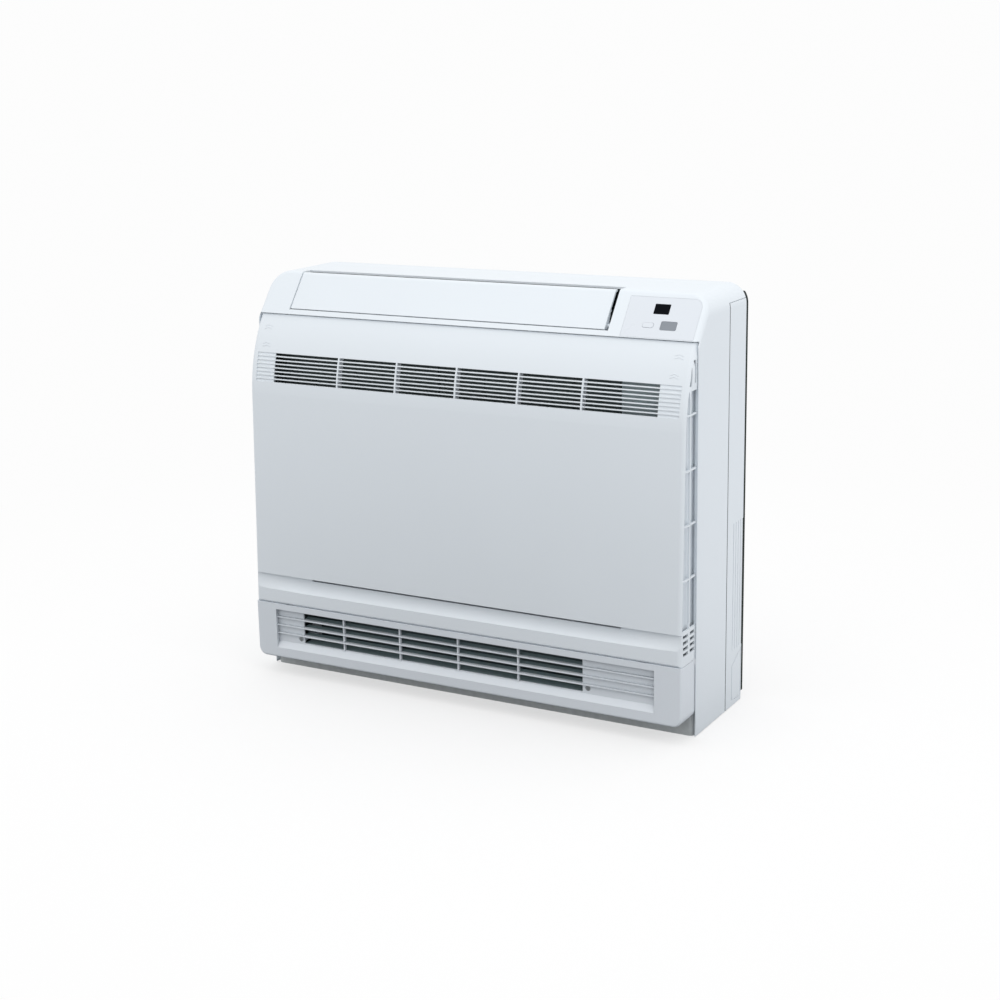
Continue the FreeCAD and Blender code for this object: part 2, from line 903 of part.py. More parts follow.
def panel_profile(x):
    """Outline of the panel's section with a square lower front corner, run past its open back."""
    back = panel_back_y + panel_edge_radius + overrun
    foot = Vector(x, front_y, panel_foot_z)
    head = Vector(x, front_y + face_lean, face_head_z)
    top = Vector(x, case_front_y + panel_top_setback, panel_top_z)
    rise = (head - foot).normalize()
    inward = Vector(0, rise.z, -rise.y)
    chord = top - head
    radius = chord.Length ** 2 / (2 * chord.dot(inward))
    centre = head + inward * radius
    outward = (head - centre).normalize() + (top - centre).normalize()
    middle = centre + outward.normalize() * radius
    low_back = Vector(x, back, panel_foot_z)
    high_back = Vector(x, back, panel_top_z)
    edges = [
        Part.LineSegment(low_back, foot).toShape(),
        Part.LineSegment(foot, head).toShape(),
        Part.Arc(head, middle, top).toShape(),
        Part.LineSegment(top, high_back).toShape(),
        Part.LineSegment(high_back, low_back).toShape(),
    ]
    return Part.Wire(edges)


def panel_prism(inset, x0, x1):
    wire = panel_profile(x0)
    if inset > 0:
        wire = wire.makeOffset2D(-inset, 2)
    return Part.Face(wire).extrude(Vector(x1 - x0, 0, 0))


def rounded_panel(inset):
    """Panel form with its upright front edges rounded, or the hollow inside it when inset."""
    half = panel_x - inset
    solid = panel_prism(inset, -half, half)
    chosen = []
    for edge in solid.Edges:
        extent = edge.BoundBox
        upright = extent.XLength < touching and extent.ZLength > touching
        if upright and extent.YMin < panel_back_y:
            chosen.append(edge)
    return solid.makeFillet(panel_edge_radius - inset, chosen)


def foot_rounding():
    """What the rounding about the hinge axis takes off the panel's lower front edge."""
    slant = hinge_round * math.sqrt(0.5)
    out_y = front_y - overrun
    out_z = panel_foot_z - overrun
    points = [
        Vector(-side_x, hinge_y, panel_foot_z),
        Vector(-side_x, hinge_y, out_z),
        Vector(-side_x, out_y, out_z),
        Vector(-side_x, out_y, hinge_z),
        Vector(-side_x, front_y, hinge_z),
    ]
    edges = [Part.LineSegment(first, second).toShape() for first, second in zip(points, points[1:])]
    bend = Vector(-side_x, hinge_y - slant, hinge_z - slant)
    edges.append(Part.Arc(points[-1], bend, points[0]).toShape())
    return Part.Face(Part.Wire(edges)).extrude(Vector(width, 0, 0))


def panel_body():
    """Solid outside form of the panel."""
    room = box(-side_x, side_x, front_y - overrun, panel_back_y, 0, height)
    return rounded_panel(0).cut(foot_rounding()).common(room)


def scoop_section(grow, sink, x):
    """Section of the concave intake scoop, or of the trough wall round it when grown."""
    drop = scoop_top_z - ledge_z
    radius = (sink ** 2 + drop ** 2) / (2 * sink)
    centre_y = front_y + sink - radius
    reach = radius + grow
    turn = math.acos((front_y - centre_y) / reach)
    start = Vector(x, centre_y + reach, scoop_top_z)
    middle = Vector(x, centre_y + reach * math.cos(turn / 2), scoop_top_z - reach * math.sin(turn / 2))
    end = Vector(x, front_y, scoop_top_z - reach * math.sin(turn))
    out_low = Vector(x, front_y - overrun, end.z)
    out_high = Vector(x, front_y - overrun, scoop_top_z + grow)
    points = [end, out_low, out_high, Vector(x, centre_y + reach, scoop_top_z + grow), start]
    edges = [Part.Arc(start, middle, end).toShape()]
    for first, second in zip(points, points[1:]):
        if (second - first).Length > touching:
            edges.append(Part.LineSegment(first, second).toShape())
    return Part.Wire(edges)


def scoop_solid(grow):
    """Scoop of even depth along the slit that runs out shallow through both sides."""
    half = slit_half_length
    middle = Part.Face(scoop_section(grow, scoop_depth, -half)).extrude(Vector(half + half, 0, 0))
    pieces = [middle]
    for side in sides:
        near = scoop_section(grow, scoop_depth, side * half)
        far = scoop_section(grow, scoop_end_depth, side * (panel_x + overrun))
        pieces.append(Part.makeLoft([near, far], True, True))
    return union(pieces)


def grille_rows_z():
    return [grille_top_z - grille_slot_height - row * grille_slot_pitch for row in range(grille_rows)]


def grille_slots():
    ribs = range(-grille_ribs_each_side, grille_ribs_each_side + 1)
    bounds = [-grille_half_length]
    for index in ribs:
        bounds.append(index * grille_rib_pitch - grille_rib / 2)
        bounds.append(index * grille_rib_pitch + grille_rib / 2)
    bounds.append(grille_half_length)
    slots = []
    for z in grille_rows_z():
        for x0, x1 in zip(bounds[0::2], bounds[1::2]):
            slots.append(box(x0, x1, front_y, panel_back_y, z, z + grille_slot_height))
    return slots


def end_grooves():
    """Shallow grooves that carry the grille's lines on towards both ends."""
    grooves = []
    for side in sides:
        x0 = min(side * grille_half_length, side * end_groove_reach)
        x1 = max(side * grille_half_length, side * end_groove_reach)
        skin = panel_prism(0, x0, x1).cut(panel_prism(end_groove_depth, x0, x1))
        rows = [box(x0, x1, front_y, panel_back_y, z, z + grille_slot_height) for z in grille_rows_z()]
        grooves.append(skin.common(rows))
    return grooves


def side_slots():
    """Cuts in the right side wall: tall slots, small vents, stopper slot and wedge slot."""
    x0 = panel_x - panel_wall - overrun
    x1 = panel_x + overrun
    divider = front_y + side_divider_setback
    columns = [(front_y, divider), (divider + side_divider, case_front_y + side_slot_rear_reach)]
    ribs = [side_slot_top_z - side_rib_first_drop - row * side_rib_pitch for row in range(side_rib_count)]
    tops = [side_slot_top_z] + [z - side_rib / 2 for z in ribs]
    feet = [z + side_rib / 2 for z in ribs] + [side_slot_bottom_z]
    cells = []
    for y0, y1 in columns:
        for top, foot in zip(tops, feet):
            cells.append(box(x0, x1, y0, y1, foot, top))
    cuts = [panel_prism(side_slot_front_inset, x0, x1).common(cells)]
    for row in range(vent_rows):
        for column in range(2):
            y = front_y + vent_front_setback + column * vent_column_pitch
            z = scoop_top_z - vent_top_drop - vent_height - row * vent_pitch
            cuts.append(box(x0, x1, y, y + vent_length, z, z + vent_height))
    slot = rectangle(front_y + stopper_slot_setback, front_y + stopper_slot_setback + stopper_slot_width,
                     stopper_slot_bottom_z, stopper_slot_top_z, stopper_slot_width * end_round_share)
    cuts.append(prism_x(slot, x0, x1))
    wedge = [
        (front_y + wedge_bottom_setback, slope_z - wedge_bottom_drop, 0),
        (front_y + wedge_bottom_setback + wedge_width, slope_z - wedge_bottom_drop, 0),
        (front_y + wedge_top_setback + wedge_tip_width, slope_z - wedge_top_drop, 0),
        (front_y + wedge_top_setback, slope_z - wedge_top_drop, 0),
    ]
    cuts.append(prism_x(wedge, x0, x1))
    return cuts


def panel_baffle():
    """Upright inner wall behind the right side slots."""
    x1 = panel_x - baffle_inset
    wall = panel_prism(panel_wall / 2, x1 - baffle_wall, x1)
    return wall.common(box(0, side_x, front_y, panel_back_y,
                           side_slot_bottom_z - baffle_end_reach, side_slot_top_z + baffle_end_reach))


def stopper_guide():
    """Ledges above and below the right stopper, on which it slides."""
    y0 = front_y + stopper_slot_setback - stopper_guide_wall
    y1 = front_y + stopper_slot_setback + stopper_slot_width
    middle = (stopper_slot_bottom_z + stopper_slot_top_z) / 2
    x1 = panel_x - panel_wall / 2
    x0 = x1 - stopper_guide_length
    ledges = []
    for direction in sides:
        near = middle + direction * (stopper_height / 2 + slip_gap)
        far = near + direction * stopper_guide_wall
        ledges.append(box(x0, x1, y0, y1, min(near, far), max(near, far)))
    return ledges


def panel_stiffeners():
    """Upright ribs on the back of the face, below the grille and in line with its ribs."""
    ribs = []
    for index in range(-grille_ribs_each_side, grille_ribs_each_side + 1):
        x = index * grille_rib_pitch
        rib = panel_prism(panel_wall / 2, x - stiffener_wall / 2, x + stiffener_wall / 2)
        rib = rib.cut(panel_prism(panel_wall + stiffener_depth, x - stiffener_wall, x + stiffener_wall))
        ribs.append(rib.common(box(-side_x, side_x, front_y, case_front_y,
                                   scoop_top_z + panel_wall, panel_top_z - slope_drop / 2)))
    return ribs


def hinge_bosses(x):
    bosses = []
    outer = hinge_pin_length / 2
    inner = hinge_ear_width / 2 + hinge_pocket_gap
    for x0, x1 in [(x - outer, x - inner), (x + inner, x + outer)]:
        bosses.append(rod(x0, hinge_y, hinge_z, Vector(1, 0, 0), x1 - x0, hinge_boss_radius))
    return bosses


def hinge_pocket(x):
    """Room in the panel's foot for an ear of the lower front case, over the whole swing."""
    half = hinge_ear_width / 2 + hinge_pocket_gap
    eye = rod(x - half, hinge_y, hinge_z, Vector(1, 0, 0), half + half, hinge_eye_radius + hinge_pocket_gap)
    gate = box(x - half, x + half, hinge_y, hinge_y + hinge_pocket_length,
               panel_foot_z - overrun, hinge_z + hinge_eye_radius)
    return eye.fuse(gate)


def hinge_places():
    return [-hinge_ear_x, hinge_ear_x]


def front_panel():
    body = panel_body()
    shell = body.cut(rounded_panel(panel_wall))
    added = [shell, body.common(scoop_solid(panel_wall))]
    right = [panel_baffle()] + stopper_guide()
    added += right + [mirrored(piece) for piece in right] + panel_stiffeners()
    for x in hinge_places():
        added += hinge_bosses(x)
    panel = union(added)
    trough_y = front_y + scoop_depth
    slit = box(-slit_half_length, slit_half_length, trough_y - panel_wall, trough_y + panel_wall + overrun,
               scoop_top_z - slit_height, scoop_top_z)
    right_cuts = side_slots()
    cuts = [scoop_solid(0), slit] + grille_slots() + end_grooves()
    cuts += right_cuts + [mirrored(piece) for piece in right_cuts]
    for x in hinge_places():
        cuts.append(hinge_pocket(x))
        cuts.append(rod(x - hinge_pin_length / 2, hinge_y, hinge_z, Vector(1, 0, 0), hinge_pin_length,
                        hinge_pin_radius + running_gap / 2))
    return panel.cut(cuts)


def panel_hinge_pins():
    pins = [rod(x - hinge_pin_length / 2, hinge_y, hinge_z, Vector(1, 0, 0), hinge_pin_length, hinge_pin_radius)
            for x in hinge_places()]
    return Part.makeCompound(pins)


def stopper_right():
    """Sliding catch with thumb ribs, set back behind the side slot."""
    x1 = panel_x - stopper_recess
    x0 = x1 - stopper_length
    y0 = front_y + stopper_slot_setback + (stopper_slot_width - stopper_depth) / 2
    middle = (stopper_slot_bottom_z + stopper_slot_top_z) / 2
    body = rectangle(y0, y0 + stopper_depth, middle - stopper_height / 2, middle + stopper_height / 2,
                     stopper_depth * end_round_share)
    pieces = [prism_x(body, x0, x1)]
    for index in range(stopper_thumb_count):
        z = middle + (index - (stopper_thumb_count - 1) / 2) * stopper_thumb_pitch
        pieces.append(box(x1 - stopper_thumb_rib, x1 + stopper_thumb_rib, y0 + stopper_thumb_rib / 2,
                          y0 + stopper_depth - stopper_thumb_rib / 2, z, z + stopper_thumb_rib))
    return union(pieces)


def stopper_left():
    return mirrored(stopper_right())


# Lower front case

def lower_view(inset):
    half = panel_x - inset
    radius = lower_corner_radius - inset
    foot = lower_bottom_z + inset
    top = lower_seam_z - inset
    return [(-half, foot, radius), (half, foot, radius), (half, top, 0), (-half, top, 0)]


def lower_shell():
    back = case_front_y + base_front_inset - seam_gap
    solid = prism_y(lower_view(0), front_y, back)
    chosen = []
    for edge in solid.Edges:
        extent = edge.BoundBox
        if extent.YMax < front_y + touching and extent.ZMin < lower_seam_z - touching:
            chosen.append(edge)
    solid = solid.makeFillet(lower_edge_radius, chosen)
    return solid.cut(prism_y(lower_view(lower_wall), front_y + lower_wall, back + overrun))


def recess_section():
    floor_y = front_y + recess_depth
    return [
        (front_y - overrun, recess_bottom_z, 0),
        (front_y, recess_bottom_z, 0),
        (floor_y, recess_bottom_z + sill_rise, 0),
        (floor_y, recess_top_z, 0),
        (front_y - overrun, recess_top_z, 0),
    ]


def recess_backing():
    floor_y = front_y + recess_depth + lower_wall
    section = [
        (front_y, recess_bottom_z - lower_wall, 0),
        (floor_y, recess_bottom_z - lower_wall + sill_rise, 0),
        (floor_y, recess_top_z + lower_wall, 0),
        (front_y, recess_top_z + lower_wall, 0),
    ]
    x0 = -side_x + recess_left_inset - lower_wall
    x1 = side_x - recess_right_inset + lower_wall
    return prism_x(section, x0, x1)


def outlet_slats():
    """Slats over the whole recess and the upright ribs of its open part."""
    y0 = front_y + slat_setback
    floor_y = front_y + recess_depth
    x0 = -side_x + recess_left_inset
    x1 = side_x - recess_right_inset
    pieces = []
    for row in range(slat_count):
        z = slat_low_z + row * slat_pitch
        low = z - slat_thickness / 2
        high = z + slat_thickness / 2
        pieces.append(box(outlet_x0, outlet_x1, y0, y0 + slat_depth, low, high))
        for start, end in [(x0, outlet_x0), (outlet_x1, x1)]:
            pieces.append(box(start - lower_wall / 2, end + lower_wall / 2, y0, floor_y + lower_wall / 2,
                              low, high))
    for share in outlet_rib_shares:
        x = outlet_x0 + (outlet_x1 - outlet_x0) * share
        pieces.append(box(x - outlet_rib / 2, x + outlet_rib / 2, y0 + slat_setback, y0 + slat_depth,
                          outlet_bottom_z - lower_wall / 2, outlet_top_z + lower_wall / 2))
    return pieces


def hinge_ear(x):
    """Hooked ear: an eye on the panel's axis, carried from behind on a neck."""
    x0 = x - hinge_ear_width / 2
    x1 = x + hinge_ear_width / 2
    eye = rod(x0, hinge_y, hinge_z, Vector(1, 0, 0), hinge_ear_width, hinge_eye_radius)
    neck_y = hinge_y + hinge_neck_setback
    bridge = box(x0, x1, hinge_y, neck_y + hinge_neck, hinge_z - hinge_bridge_drop, hinge_z + hinge_eye_radius)
    neck = box(x0, x1, neck_y, neck_y + hinge_neck, lower_seam_z - lower_wall, hinge_z)
    return [eye, bridge, neck]


def screw_bosses():
    start = front_y + recess_depth + lower_wall / 2
    end = case_front_y + base_front_inset - slip_gap
    return [rod(x, start, screw_z, Vector(0, 1, 0), end - start, screw_boss_radius) for x in screw_places]


def lower_front_case():
    x0 = -side_x + recess_left_inset
    x1 = side_x - recess_right_inset
    pieces = [lower_shell(), recess_backing()] + screw_bosses()
    for x in hinge_places():
        pieces += hinge_ear(x)
    case = union(pieces)
    outlet = box(outlet_x0, outlet_x1, front_y, front_y + recess_depth + lower_wall + overrun,
                 outlet_bottom_z, outlet_top_z)
    case = case.cut([prism_x(recess_section(), x0, x1), outlet])
    case = union([case] + outlet_slats())
    cuts = []
    for x in screw_places:
        floor_y = front_y + recess_depth
        cuts.append(rod(x, floor_y, screw_z, Vector(0, 1, 0), case_setback, screw_shank_radius + running_gap))
        cuts.append(rod(x, floor_y - slip_gap, screw_z, Vector(0, 1, 0),
                        slip_gap + screw_head_height, screw_head_radius + slip_gap))
    for x in hinge_places():
        cuts.append(rod(x - hinge_ear_width, hinge_y, hinge_z, Vector(1, 0, 0),
                        hinge_ear_width + hinge_ear_width, hinge_pin_radius + running_gap))
    return case.cut(cuts)


def case_screws():
    screws = []
    for x in screw_places:
        seat = front_y + recess_depth + screw_head_height
        end = case_front_y + base_front_inset + screw_bite
        head = rod(x, seat - screw_head_height, screw_z, Vector(0, 1, 0), screw_head_height, screw_head_radius)
        shank = rod(x, seat, screw_z, Vector(0, 1, 0), end - seat, screw_shank_radius)
        start = seat - screw_head_height
        slots = [
            box(x - screw_head_radius, x + screw_head_radius, start, start + screw_slot_depth,
                screw_z - screw_slot_width / 2, screw_z + screw_slot_width / 2),
            box(x - screw_slot_width / 2, x + screw_slot_width / 2, start, start + screw_slot_depth,
                screw_z - screw_head_radius, screw_z + screw_head_radius),
        ]
        screws.append(head.fuse(shank).cut(slots))
    return Part.makeCompound(screws)


# Louver and its motor

def upper_louver():
    """Flap that follows slope, crest and top, on two arms with pivot pins."""
    deep = louver_recess + louver_wall
    inside = louver_recess + louver_wall / 2
    section = [
        corner(louver_edge),
        corner(crest(louver_recess), crest_radius - louver_recess),
        (louver_rear_y, height - louver_recess, 0),
        (louver_rear_y, height - deep, 0),
        corner(crest(deep), crest_radius - deep),
        corner(slope_point(louver_edge_along, deep)),
    ]
    flap = prism_x(section, louver_x0, louver_x1)
    arm = [
        corner(slope_point(louver_edge_along + louver_rib_wall, inside)),
        corner(slope_point(louver_axis_along - louver_hub_radius, louver_axis_inward)),
        corner(slope_point(louver_axis_along + louver_hub_radius, louver_axis_inward)),
        corner(slope_point(louver_edge_along + louver_arm_reach, inside)),
    ]
    rib = [
        corner(slope_point(louver_rib_along, inside)),
        corner(slope_point(louver_rib_along, deep + louver_rib_height)),
        corner(slope_point(louver_rib_along + louver_rib_wall, deep + louver_rib_height)),
        corner(slope_point(louver_rib_along + louver_rib_wall, inside)),
    ]
    pieces = [flap, prism_x(rib, louver_x0, louver_x1)]
    axis_y, axis_z = louver_axis
    for x0 in [louver_x0, louver_x1 - louver_arm_width]:
        pieces.append(prism_x(arm, x0, x0 + louver_arm_width))
        pieces.append(rod(x0, axis_y, axis_z, Vector(1, 0, 0), louver_arm_width, louver_hub_radius))
    left = opening_x0 - end_wall
    right = opening_x1 + end_wall + stepper_socket_depth
    pieces.append(rod(left, axis_y, axis_z, Vector(1, 0, 0), louver_x0 - left, louver_pin_radius))
    pieces.append(rod(louver_x1, axis_y, axis_z, Vector(1, 0, 0), right - louver_x1, louver_pin_radius))
    return union(pieces)


def stepper(x, axis_y, axis_z, down_y, down_z):
    """Round geared motor, its body offset from the driven axis, with two fixing ears."""
    centre_y = axis_y + down_y * stepper_offset
    centre_z = axis_z + down_z * stepper_offset
    body = rod(x, centre_y, centre_z, Vector(1, 0, 0), stepper_length, stepper_radius)
    ear_line = []
    for side in sides:
        y = centre_y - side * down_z * stepper_ear_spread
        z = centre_z + side * down_y * stepper_ear_spread
        ear_line.append((y, z))
    ears = []
    for y, z in ear_line:
        lug = rod(x, y, z, Vector(1, 0, 0), stepper_ear_wall, stepper_ear_radius)
        bridge = Part.makeBox(stepper_ear_wall, stepper_ear_radius + stepper_ear_radius, stepper_ear_spread)
        bridge.translate(Vector(0, -stepper_ear_radius, 0))
        turn = math.degrees(math.atan2(-(y - centre_y), z - centre_z))
        bridge.rotate(Vector(0, 0, 0), Vector(1, 0, 0), turn)
        bridge.translate(Vector(x, centre_y, centre_z))
        hole = rod(x - overrun, y, z, Vector(1, 0, 0), stepper_ear_wall + overrun + overrun,
                   stepper_ear_radius / 2)
        ears.append(lug.fuse(bridge).cut(hole))
    socket = rod(x - overrun, axis_y, axis_z, Vector(1, 0, 0), overrun + stepper_socket_depth,
                 louver_pin_radius + running_gap)
    return union([body] + ears).cut(socket)


def louver_motor():
    down = slope_point(0, 1)
    origin = slope_point(0, 0)
    return stepper(duct_x1 + slip_gap, louver_axis[0], louver_axis[1],
                   down[0] - origin[0], down[1] - origin[1])


# Display

def display_cutouts(gap):
    window_x0 = side_x - window_left_inset - gap
    window_low = slope_z + window_low_along - gap
    receiver_x0 = side_x - receiver_left_inset - gap
    receiver_low = slope_z + receiver_low_along - gap
    window = rectangle(window_x0, window_x0 + window_width + gap + gap, window_low,
                       window_low + window_height + gap + gap, inlay_small_radius + gap)
    receiver = rectangle(receiver_x0, receiver_x0 + receiver_width + gap + gap, receiver_low,
                         receiver_low + receiver_height + gap + gap, receiver_radius + gap)
    return (window, receiver)


def display_panel():
    plate = prism_y(inlay_corners(0), case_front_y, case_front_y + inlay_thickness)
    shapes = display_cutouts(inlay_gap)
    cuts = [prism_y(shape, case_front_y - overrun, case_front_y + overrun) for shape in shapes]
    cuts.append(prism_y(button_corners(button_gap), case_front_y - overrun, case_front_y + overrun))
    return on_slope(plate.cut(cuts))


def display_window():
    return on_slope(prism_y(display_cutouts(0)[0], case_front_y, case_front_y + inlay_thickness))


def receiver_window():
    return on_slope(prism_y(display_cutouts(0)[1], case_front_y, case_front_y + inlay_thickness))


def aux_button():
    return on_slope(prism_y(button_corners(0), case_front_y - button_proud, case_front_y + button_depth))


def display_board():
    x0, x1, low, high = board_extent()
    y0 = case_front_y + board_depth
    board = box(x0, x1, y0, y0 + board_thickness, low, high)
    middle = (low + high) / 2
    chip = box(x0 + inlay_corner_radius, x1 - inlay_corner_radius, y0 + board_thickness,
               y0 + board_thickness + chip_height, middle - board_margin, middle + board_margin)
    return on_slope(board.fuse(chip))


# Vanes of the upper outlet, drawn upright behind the case front and leant with the slope

def vane_x(index):
    return opening_x0 + vane_end_inset + index * vane_pitch


def vane(index):
    x = vane_x(index)
    pivot_y = case_front_y + vane_pivot_inward
    low = slope_z + vane_low_along
    high = slope_z + vane_high_along
    blade = [
        (pivot_y - vane_front, low, 0),
        (pivot_y + vane_back, low, vane_corner_radius),
        (pivot_y + vane_back, high, vane_corner_radius),
        (pivot_y - vane_front, high, vane_corner_radius),
    ]
    plate = prism_x(blade, x - vane_wall / 2, x + vane_wall / 2)
    pin = rod(x, pivot_y, low - vane_pin_depth, Vector(0, 0, 1), vane_pin_depth + vane_front, vane_pin_radius)
    link_z = slope_z + link_along
    notch_y = pivot_y + link_inward - link_depth - link_notch_gap
    notch = box(x - overrun, x + overrun, notch_y, pivot_y + vane_back + overrun,
                link_z - link_height / 2 - link_notch_gap, link_z + link_height / 2 + link_notch_gap)
    return on_slope(plate.fuse(pin).cut(notch))


def vane_link(first, last):
    """Bar through the notches of one set of vanes, with a pair of pegs round each."""
    y = case_front_y + vane_pivot_inward + link_inward
    z = slope_z + link_along
    pieces = [box(vane_x(first) - link_overhang, vane_x(last) + link_overhang, y - link_depth / 2,
                  y + link_depth / 2, z - link_height / 2, z + link_height / 2)]
    for index in range(first, last + 1):
        for side in sides:
            x = vane_x(index) + side * (vane_wall / 2 + link_peg_clear + link_peg_radius)
            pieces.append(rod(x, y, z - link_peg_length, Vector(0, 0, 1), link_peg_length + link_peg_length,
                              link_peg_radius))
    return on_slope(union(pieces))


def vane_carrier():
    """Bar along the throat's floor, bored for the pins of all vanes."""
    y = case_front_y + vane_pivot_inward
    top = slope_z + vane_low_along - slip_gap
    bar = box(opening_x0 + seam_gap, opening_x1 - seam_gap, y - carrier_half_depth, y + carrier_half_depth,
              top - carrier_height, top)
    bores = [rod(vane_x(index), y, top - vane_pin_depth, Vector(0, 0, 1), vane_pin_depth + overrun,
                 vane_pin_radius + running_gap) for index in range(vane_count)]
    return on_slope(bar.cut(bores))


# Air duct and fan

def duct_back_sheet():
    inner = duct_back_y - duct_wall
    return [
        (duct_top_front_y, duct_top_z, 0),
        (duct_back_y, duct_top_z, duct_top_radius),
        (duct_back_y, duct_floor_z, duct_foot_radius),
        (duct_mouth_y, duct_floor_z, 0),
        (duct_mouth_y, duct_floor_z + duct_wall, 0),
        (inner, duct_floor_z + duct_wall, duct_foot_radius - duct_wall),
        (inner, duct_top_z - duct_wall, duct_top_radius - duct_wall),
        (duct_top_front_y, duct_top_z - duct_wall, 0),
    ]


def duct_side_sheet():
    front = shroud_back_y + slip_gap
    return [
        (duct_top_front_y + duct_wall, duct_top_z, 0),
        (duct_back_y, duct_top_z, duct_top_radius),
        (duct_back_y, duct_floor_z, duct_foot_radius),
        (duct_mouth_y, duct_floor_z, 0),
        (duct_mouth_y, passage_top_z, 0),
        (front, passage_top_z, 0),
        (front, throat_foot_z, 0),
        (end_wall_back_y + slip_gap, throat_foot_z + hood_skirt, 0),
        (end_wall_back_y + slip_gap, duct_top_z - duct_wall, 0),
    ]


def throat_sheet():
    """Shelf behind the intake frame that bends into the throat's floor and down to the shroud."""
    start = frame_back_y + slip_gap
    top = throat_shelf_z + duct_wall
    end = slope_point(throat_along, throat_inward)
    upper = slope_point(throat_along + duct_wall, throat_inward + duct_wall)
    return [
        (start, throat_shelf_z, 0),
        corner(slope_at_height(throat_along, throat_shelf_z)),
        corner(end),
        (end[0], throat_foot_z, 0),
        (upper[0], throat_foot_z, 0),
        corner(upper),
        corner(slope_at_height(throat_along + duct_wall, top)),
        (start, top, 0),
    ]


def air_duct():
    x0 = duct_x0 - duct_wall
    x1 = duct_x1 + duct_wall
    ceiling = box(x0, x1, duct_mouth_y, shroud_back_y + slip_gap, passage_top_z - duct_wall, passage_top_z)
    pieces = [
        prism_x(duct_back_sheet(), x0, x1),
        prism_x(throat_sheet(), duct_x0, duct_x1),
        prism_x(duct_side_sheet(), x0, duct_x0),
        prism_x(duct_side_sheet(), duct_x1, x1),
        ceiling,
    ]
    duct = union(pieces)
    bore = rod(x0 - overrun, damper_y, damper_axis_z, Vector(1, 0, 0), x1 - x0 + overrun + overrun,
               damper_pin_radius + running_gap)
    return duct.cut(bore)


def fan_shroud():
    """Plate between coil and fan with a flared inlet ring."""
    x0 = duct_x0 - duct_wall
    x1 = duct_x1 + duct_wall
    plate = box(x0, x1, shroud_y, shroud_back_y, passage_top_z + slip_gap, throat_foot_z - slip_gap)
    lip = fan_eye_radius - fan_front_gap
    hole = rod(fan_x, shroud_y - overrun, fan_z, Vector(0, 1, 0), shroud_wall + overrun + overrun,
               lip + bell_radius / 2)
    ring = turned([
        (lip + bell_radius, shroud_y, 0),
        (lip, shroud_y, bell_reach),
        (lip, shroud_y + bell_radius, 0),
        (lip - shroud_wall, shroud_y + bell_radius, 0),
        (lip - shroud_wall, shroud_y - shroud_wall, bell_reach + shroud_wall),
        (lip + bell_radius, shroud_y - shroud_wall, 0),
    ], fan_x, fan_z)
    return union([plate.cut(hole), ring])


def fan_blade(index):
    """Backward-swept blade: two nested arcs from hub to rim, extruded along the axis."""
    turn = 2 * math.pi * index / blade_count
    start_y = fan_front_y + fan_ring_depth

    def polar(radius, angle):
        return Vector(fan_x + radius * math.cos(turn + angle), start_y, fan_z + radius * math.sin(turn + angle))

    inner = polar(fan_radius * blade_inner_share, 0)
    outer = polar(fan_radius - blade_rim_margin, blade_sweep)
    chord = outer - inner
    across = Vector(chord.z, 0, -chord.x).normalize()
    bow = (inner + outer) / 2 + across * (chord.Length * blade_bow_share)
    shift = across * (blade_wall / 2)
    nose = inner - chord.normalize() * (blade_wall / 2)
    edges = [
        Part.Arc(inner + shift, bow + shift, outer).toShape(),
        Part.Arc(outer, bow - shift, inner - shift).toShape(),
        Part.Arc(inner - shift, nose, inner + shift).toShape(),
    ]
    section = Part.Face(Part.Wire(edges))
    return section.extrude(Vector(0, fan_back_y + fan_wall - start_y, 0))


def fan_ring():
    """Curved front ring that joins the blade tips."""
    return turned([
        (fan_eye_radius, fan_front_y, 0),
        (fan_eye_radius, fan_front_y + fan_ring_depth, fan_ring_depth / 2),
        (fan_radius, fan_front_y + fan_ring_depth, 0),
        (fan_radius, fan_front_y + fan_ring_depth + fan_wall, 0),
        (fan_eye_radius - fan_wall, fan_front_y + fan_ring_depth + fan_wall, fan_ring_depth / 2 + fan_wall),
        (fan_eye_radius - fan_wall, fan_front_y, 0),
    ], fan_x, fan_z)


def fan_hub():
    """Back plate that rises into a cone over the motor, with a boss for the shaft."""
    top = fan_back_y - fan_hub_height
    bore = shaft_radius + running_gap / 2
    return turned([
        (fan_radius, fan_back_y, 0),
        (fan_hub_foot, fan_back_y, fan_wall),
        (fan_hub_front, top, fan_wall),
        (fan_boss_radius, top, 0),
        (fan_boss_radius, top - fan_boss_length / 2, 0),
        (bore, top - fan_boss_length / 2, 0),
        (bore, top + fan_boss_length, 0),
        (fan_boss_radius, top + fan_boss_length, 0),
        (fan_boss_radius, top + fan_wall, 0),
        (fan_hub_front - fan_wall, top + fan_wall, fan_wall),
        (fan_hub_foot - fan_wall, fan_back_y + fan_wall, fan_wall),
        (fan_radius, fan_back_y + fan_wall, 0),
    ], fan_x, fan_z)


def turbo_fan():
    blades = [fan_blade(index) for index in range(blade_count)]
    return union([fan_hub(), fan_ring()] + blades)


def fan_seat_y():
    return fan_back_y - fan_hub_height - fan_boss_length / 2


def motor_shaft():
    start = fan_seat_y() - nut_height - slip_gap
    end = motor_front_y + shaft_in_motor
    return rod(fan_x, start, fan_z, Vector(0, 1, 0), end - start, shaft_radius)


def fan_nut():
    start = fan_seat_y() - nut_height
    nut = prism_y(hexagon(fan_x, fan_z, nut_flat_radius), start, fan_seat_y())
    return nut.cut(rod(fan_x, start - overrun, fan_z, Vector(0, 1, 0), nut_height + overrun + overrun,
                       shaft_radius + running_gap / 2))


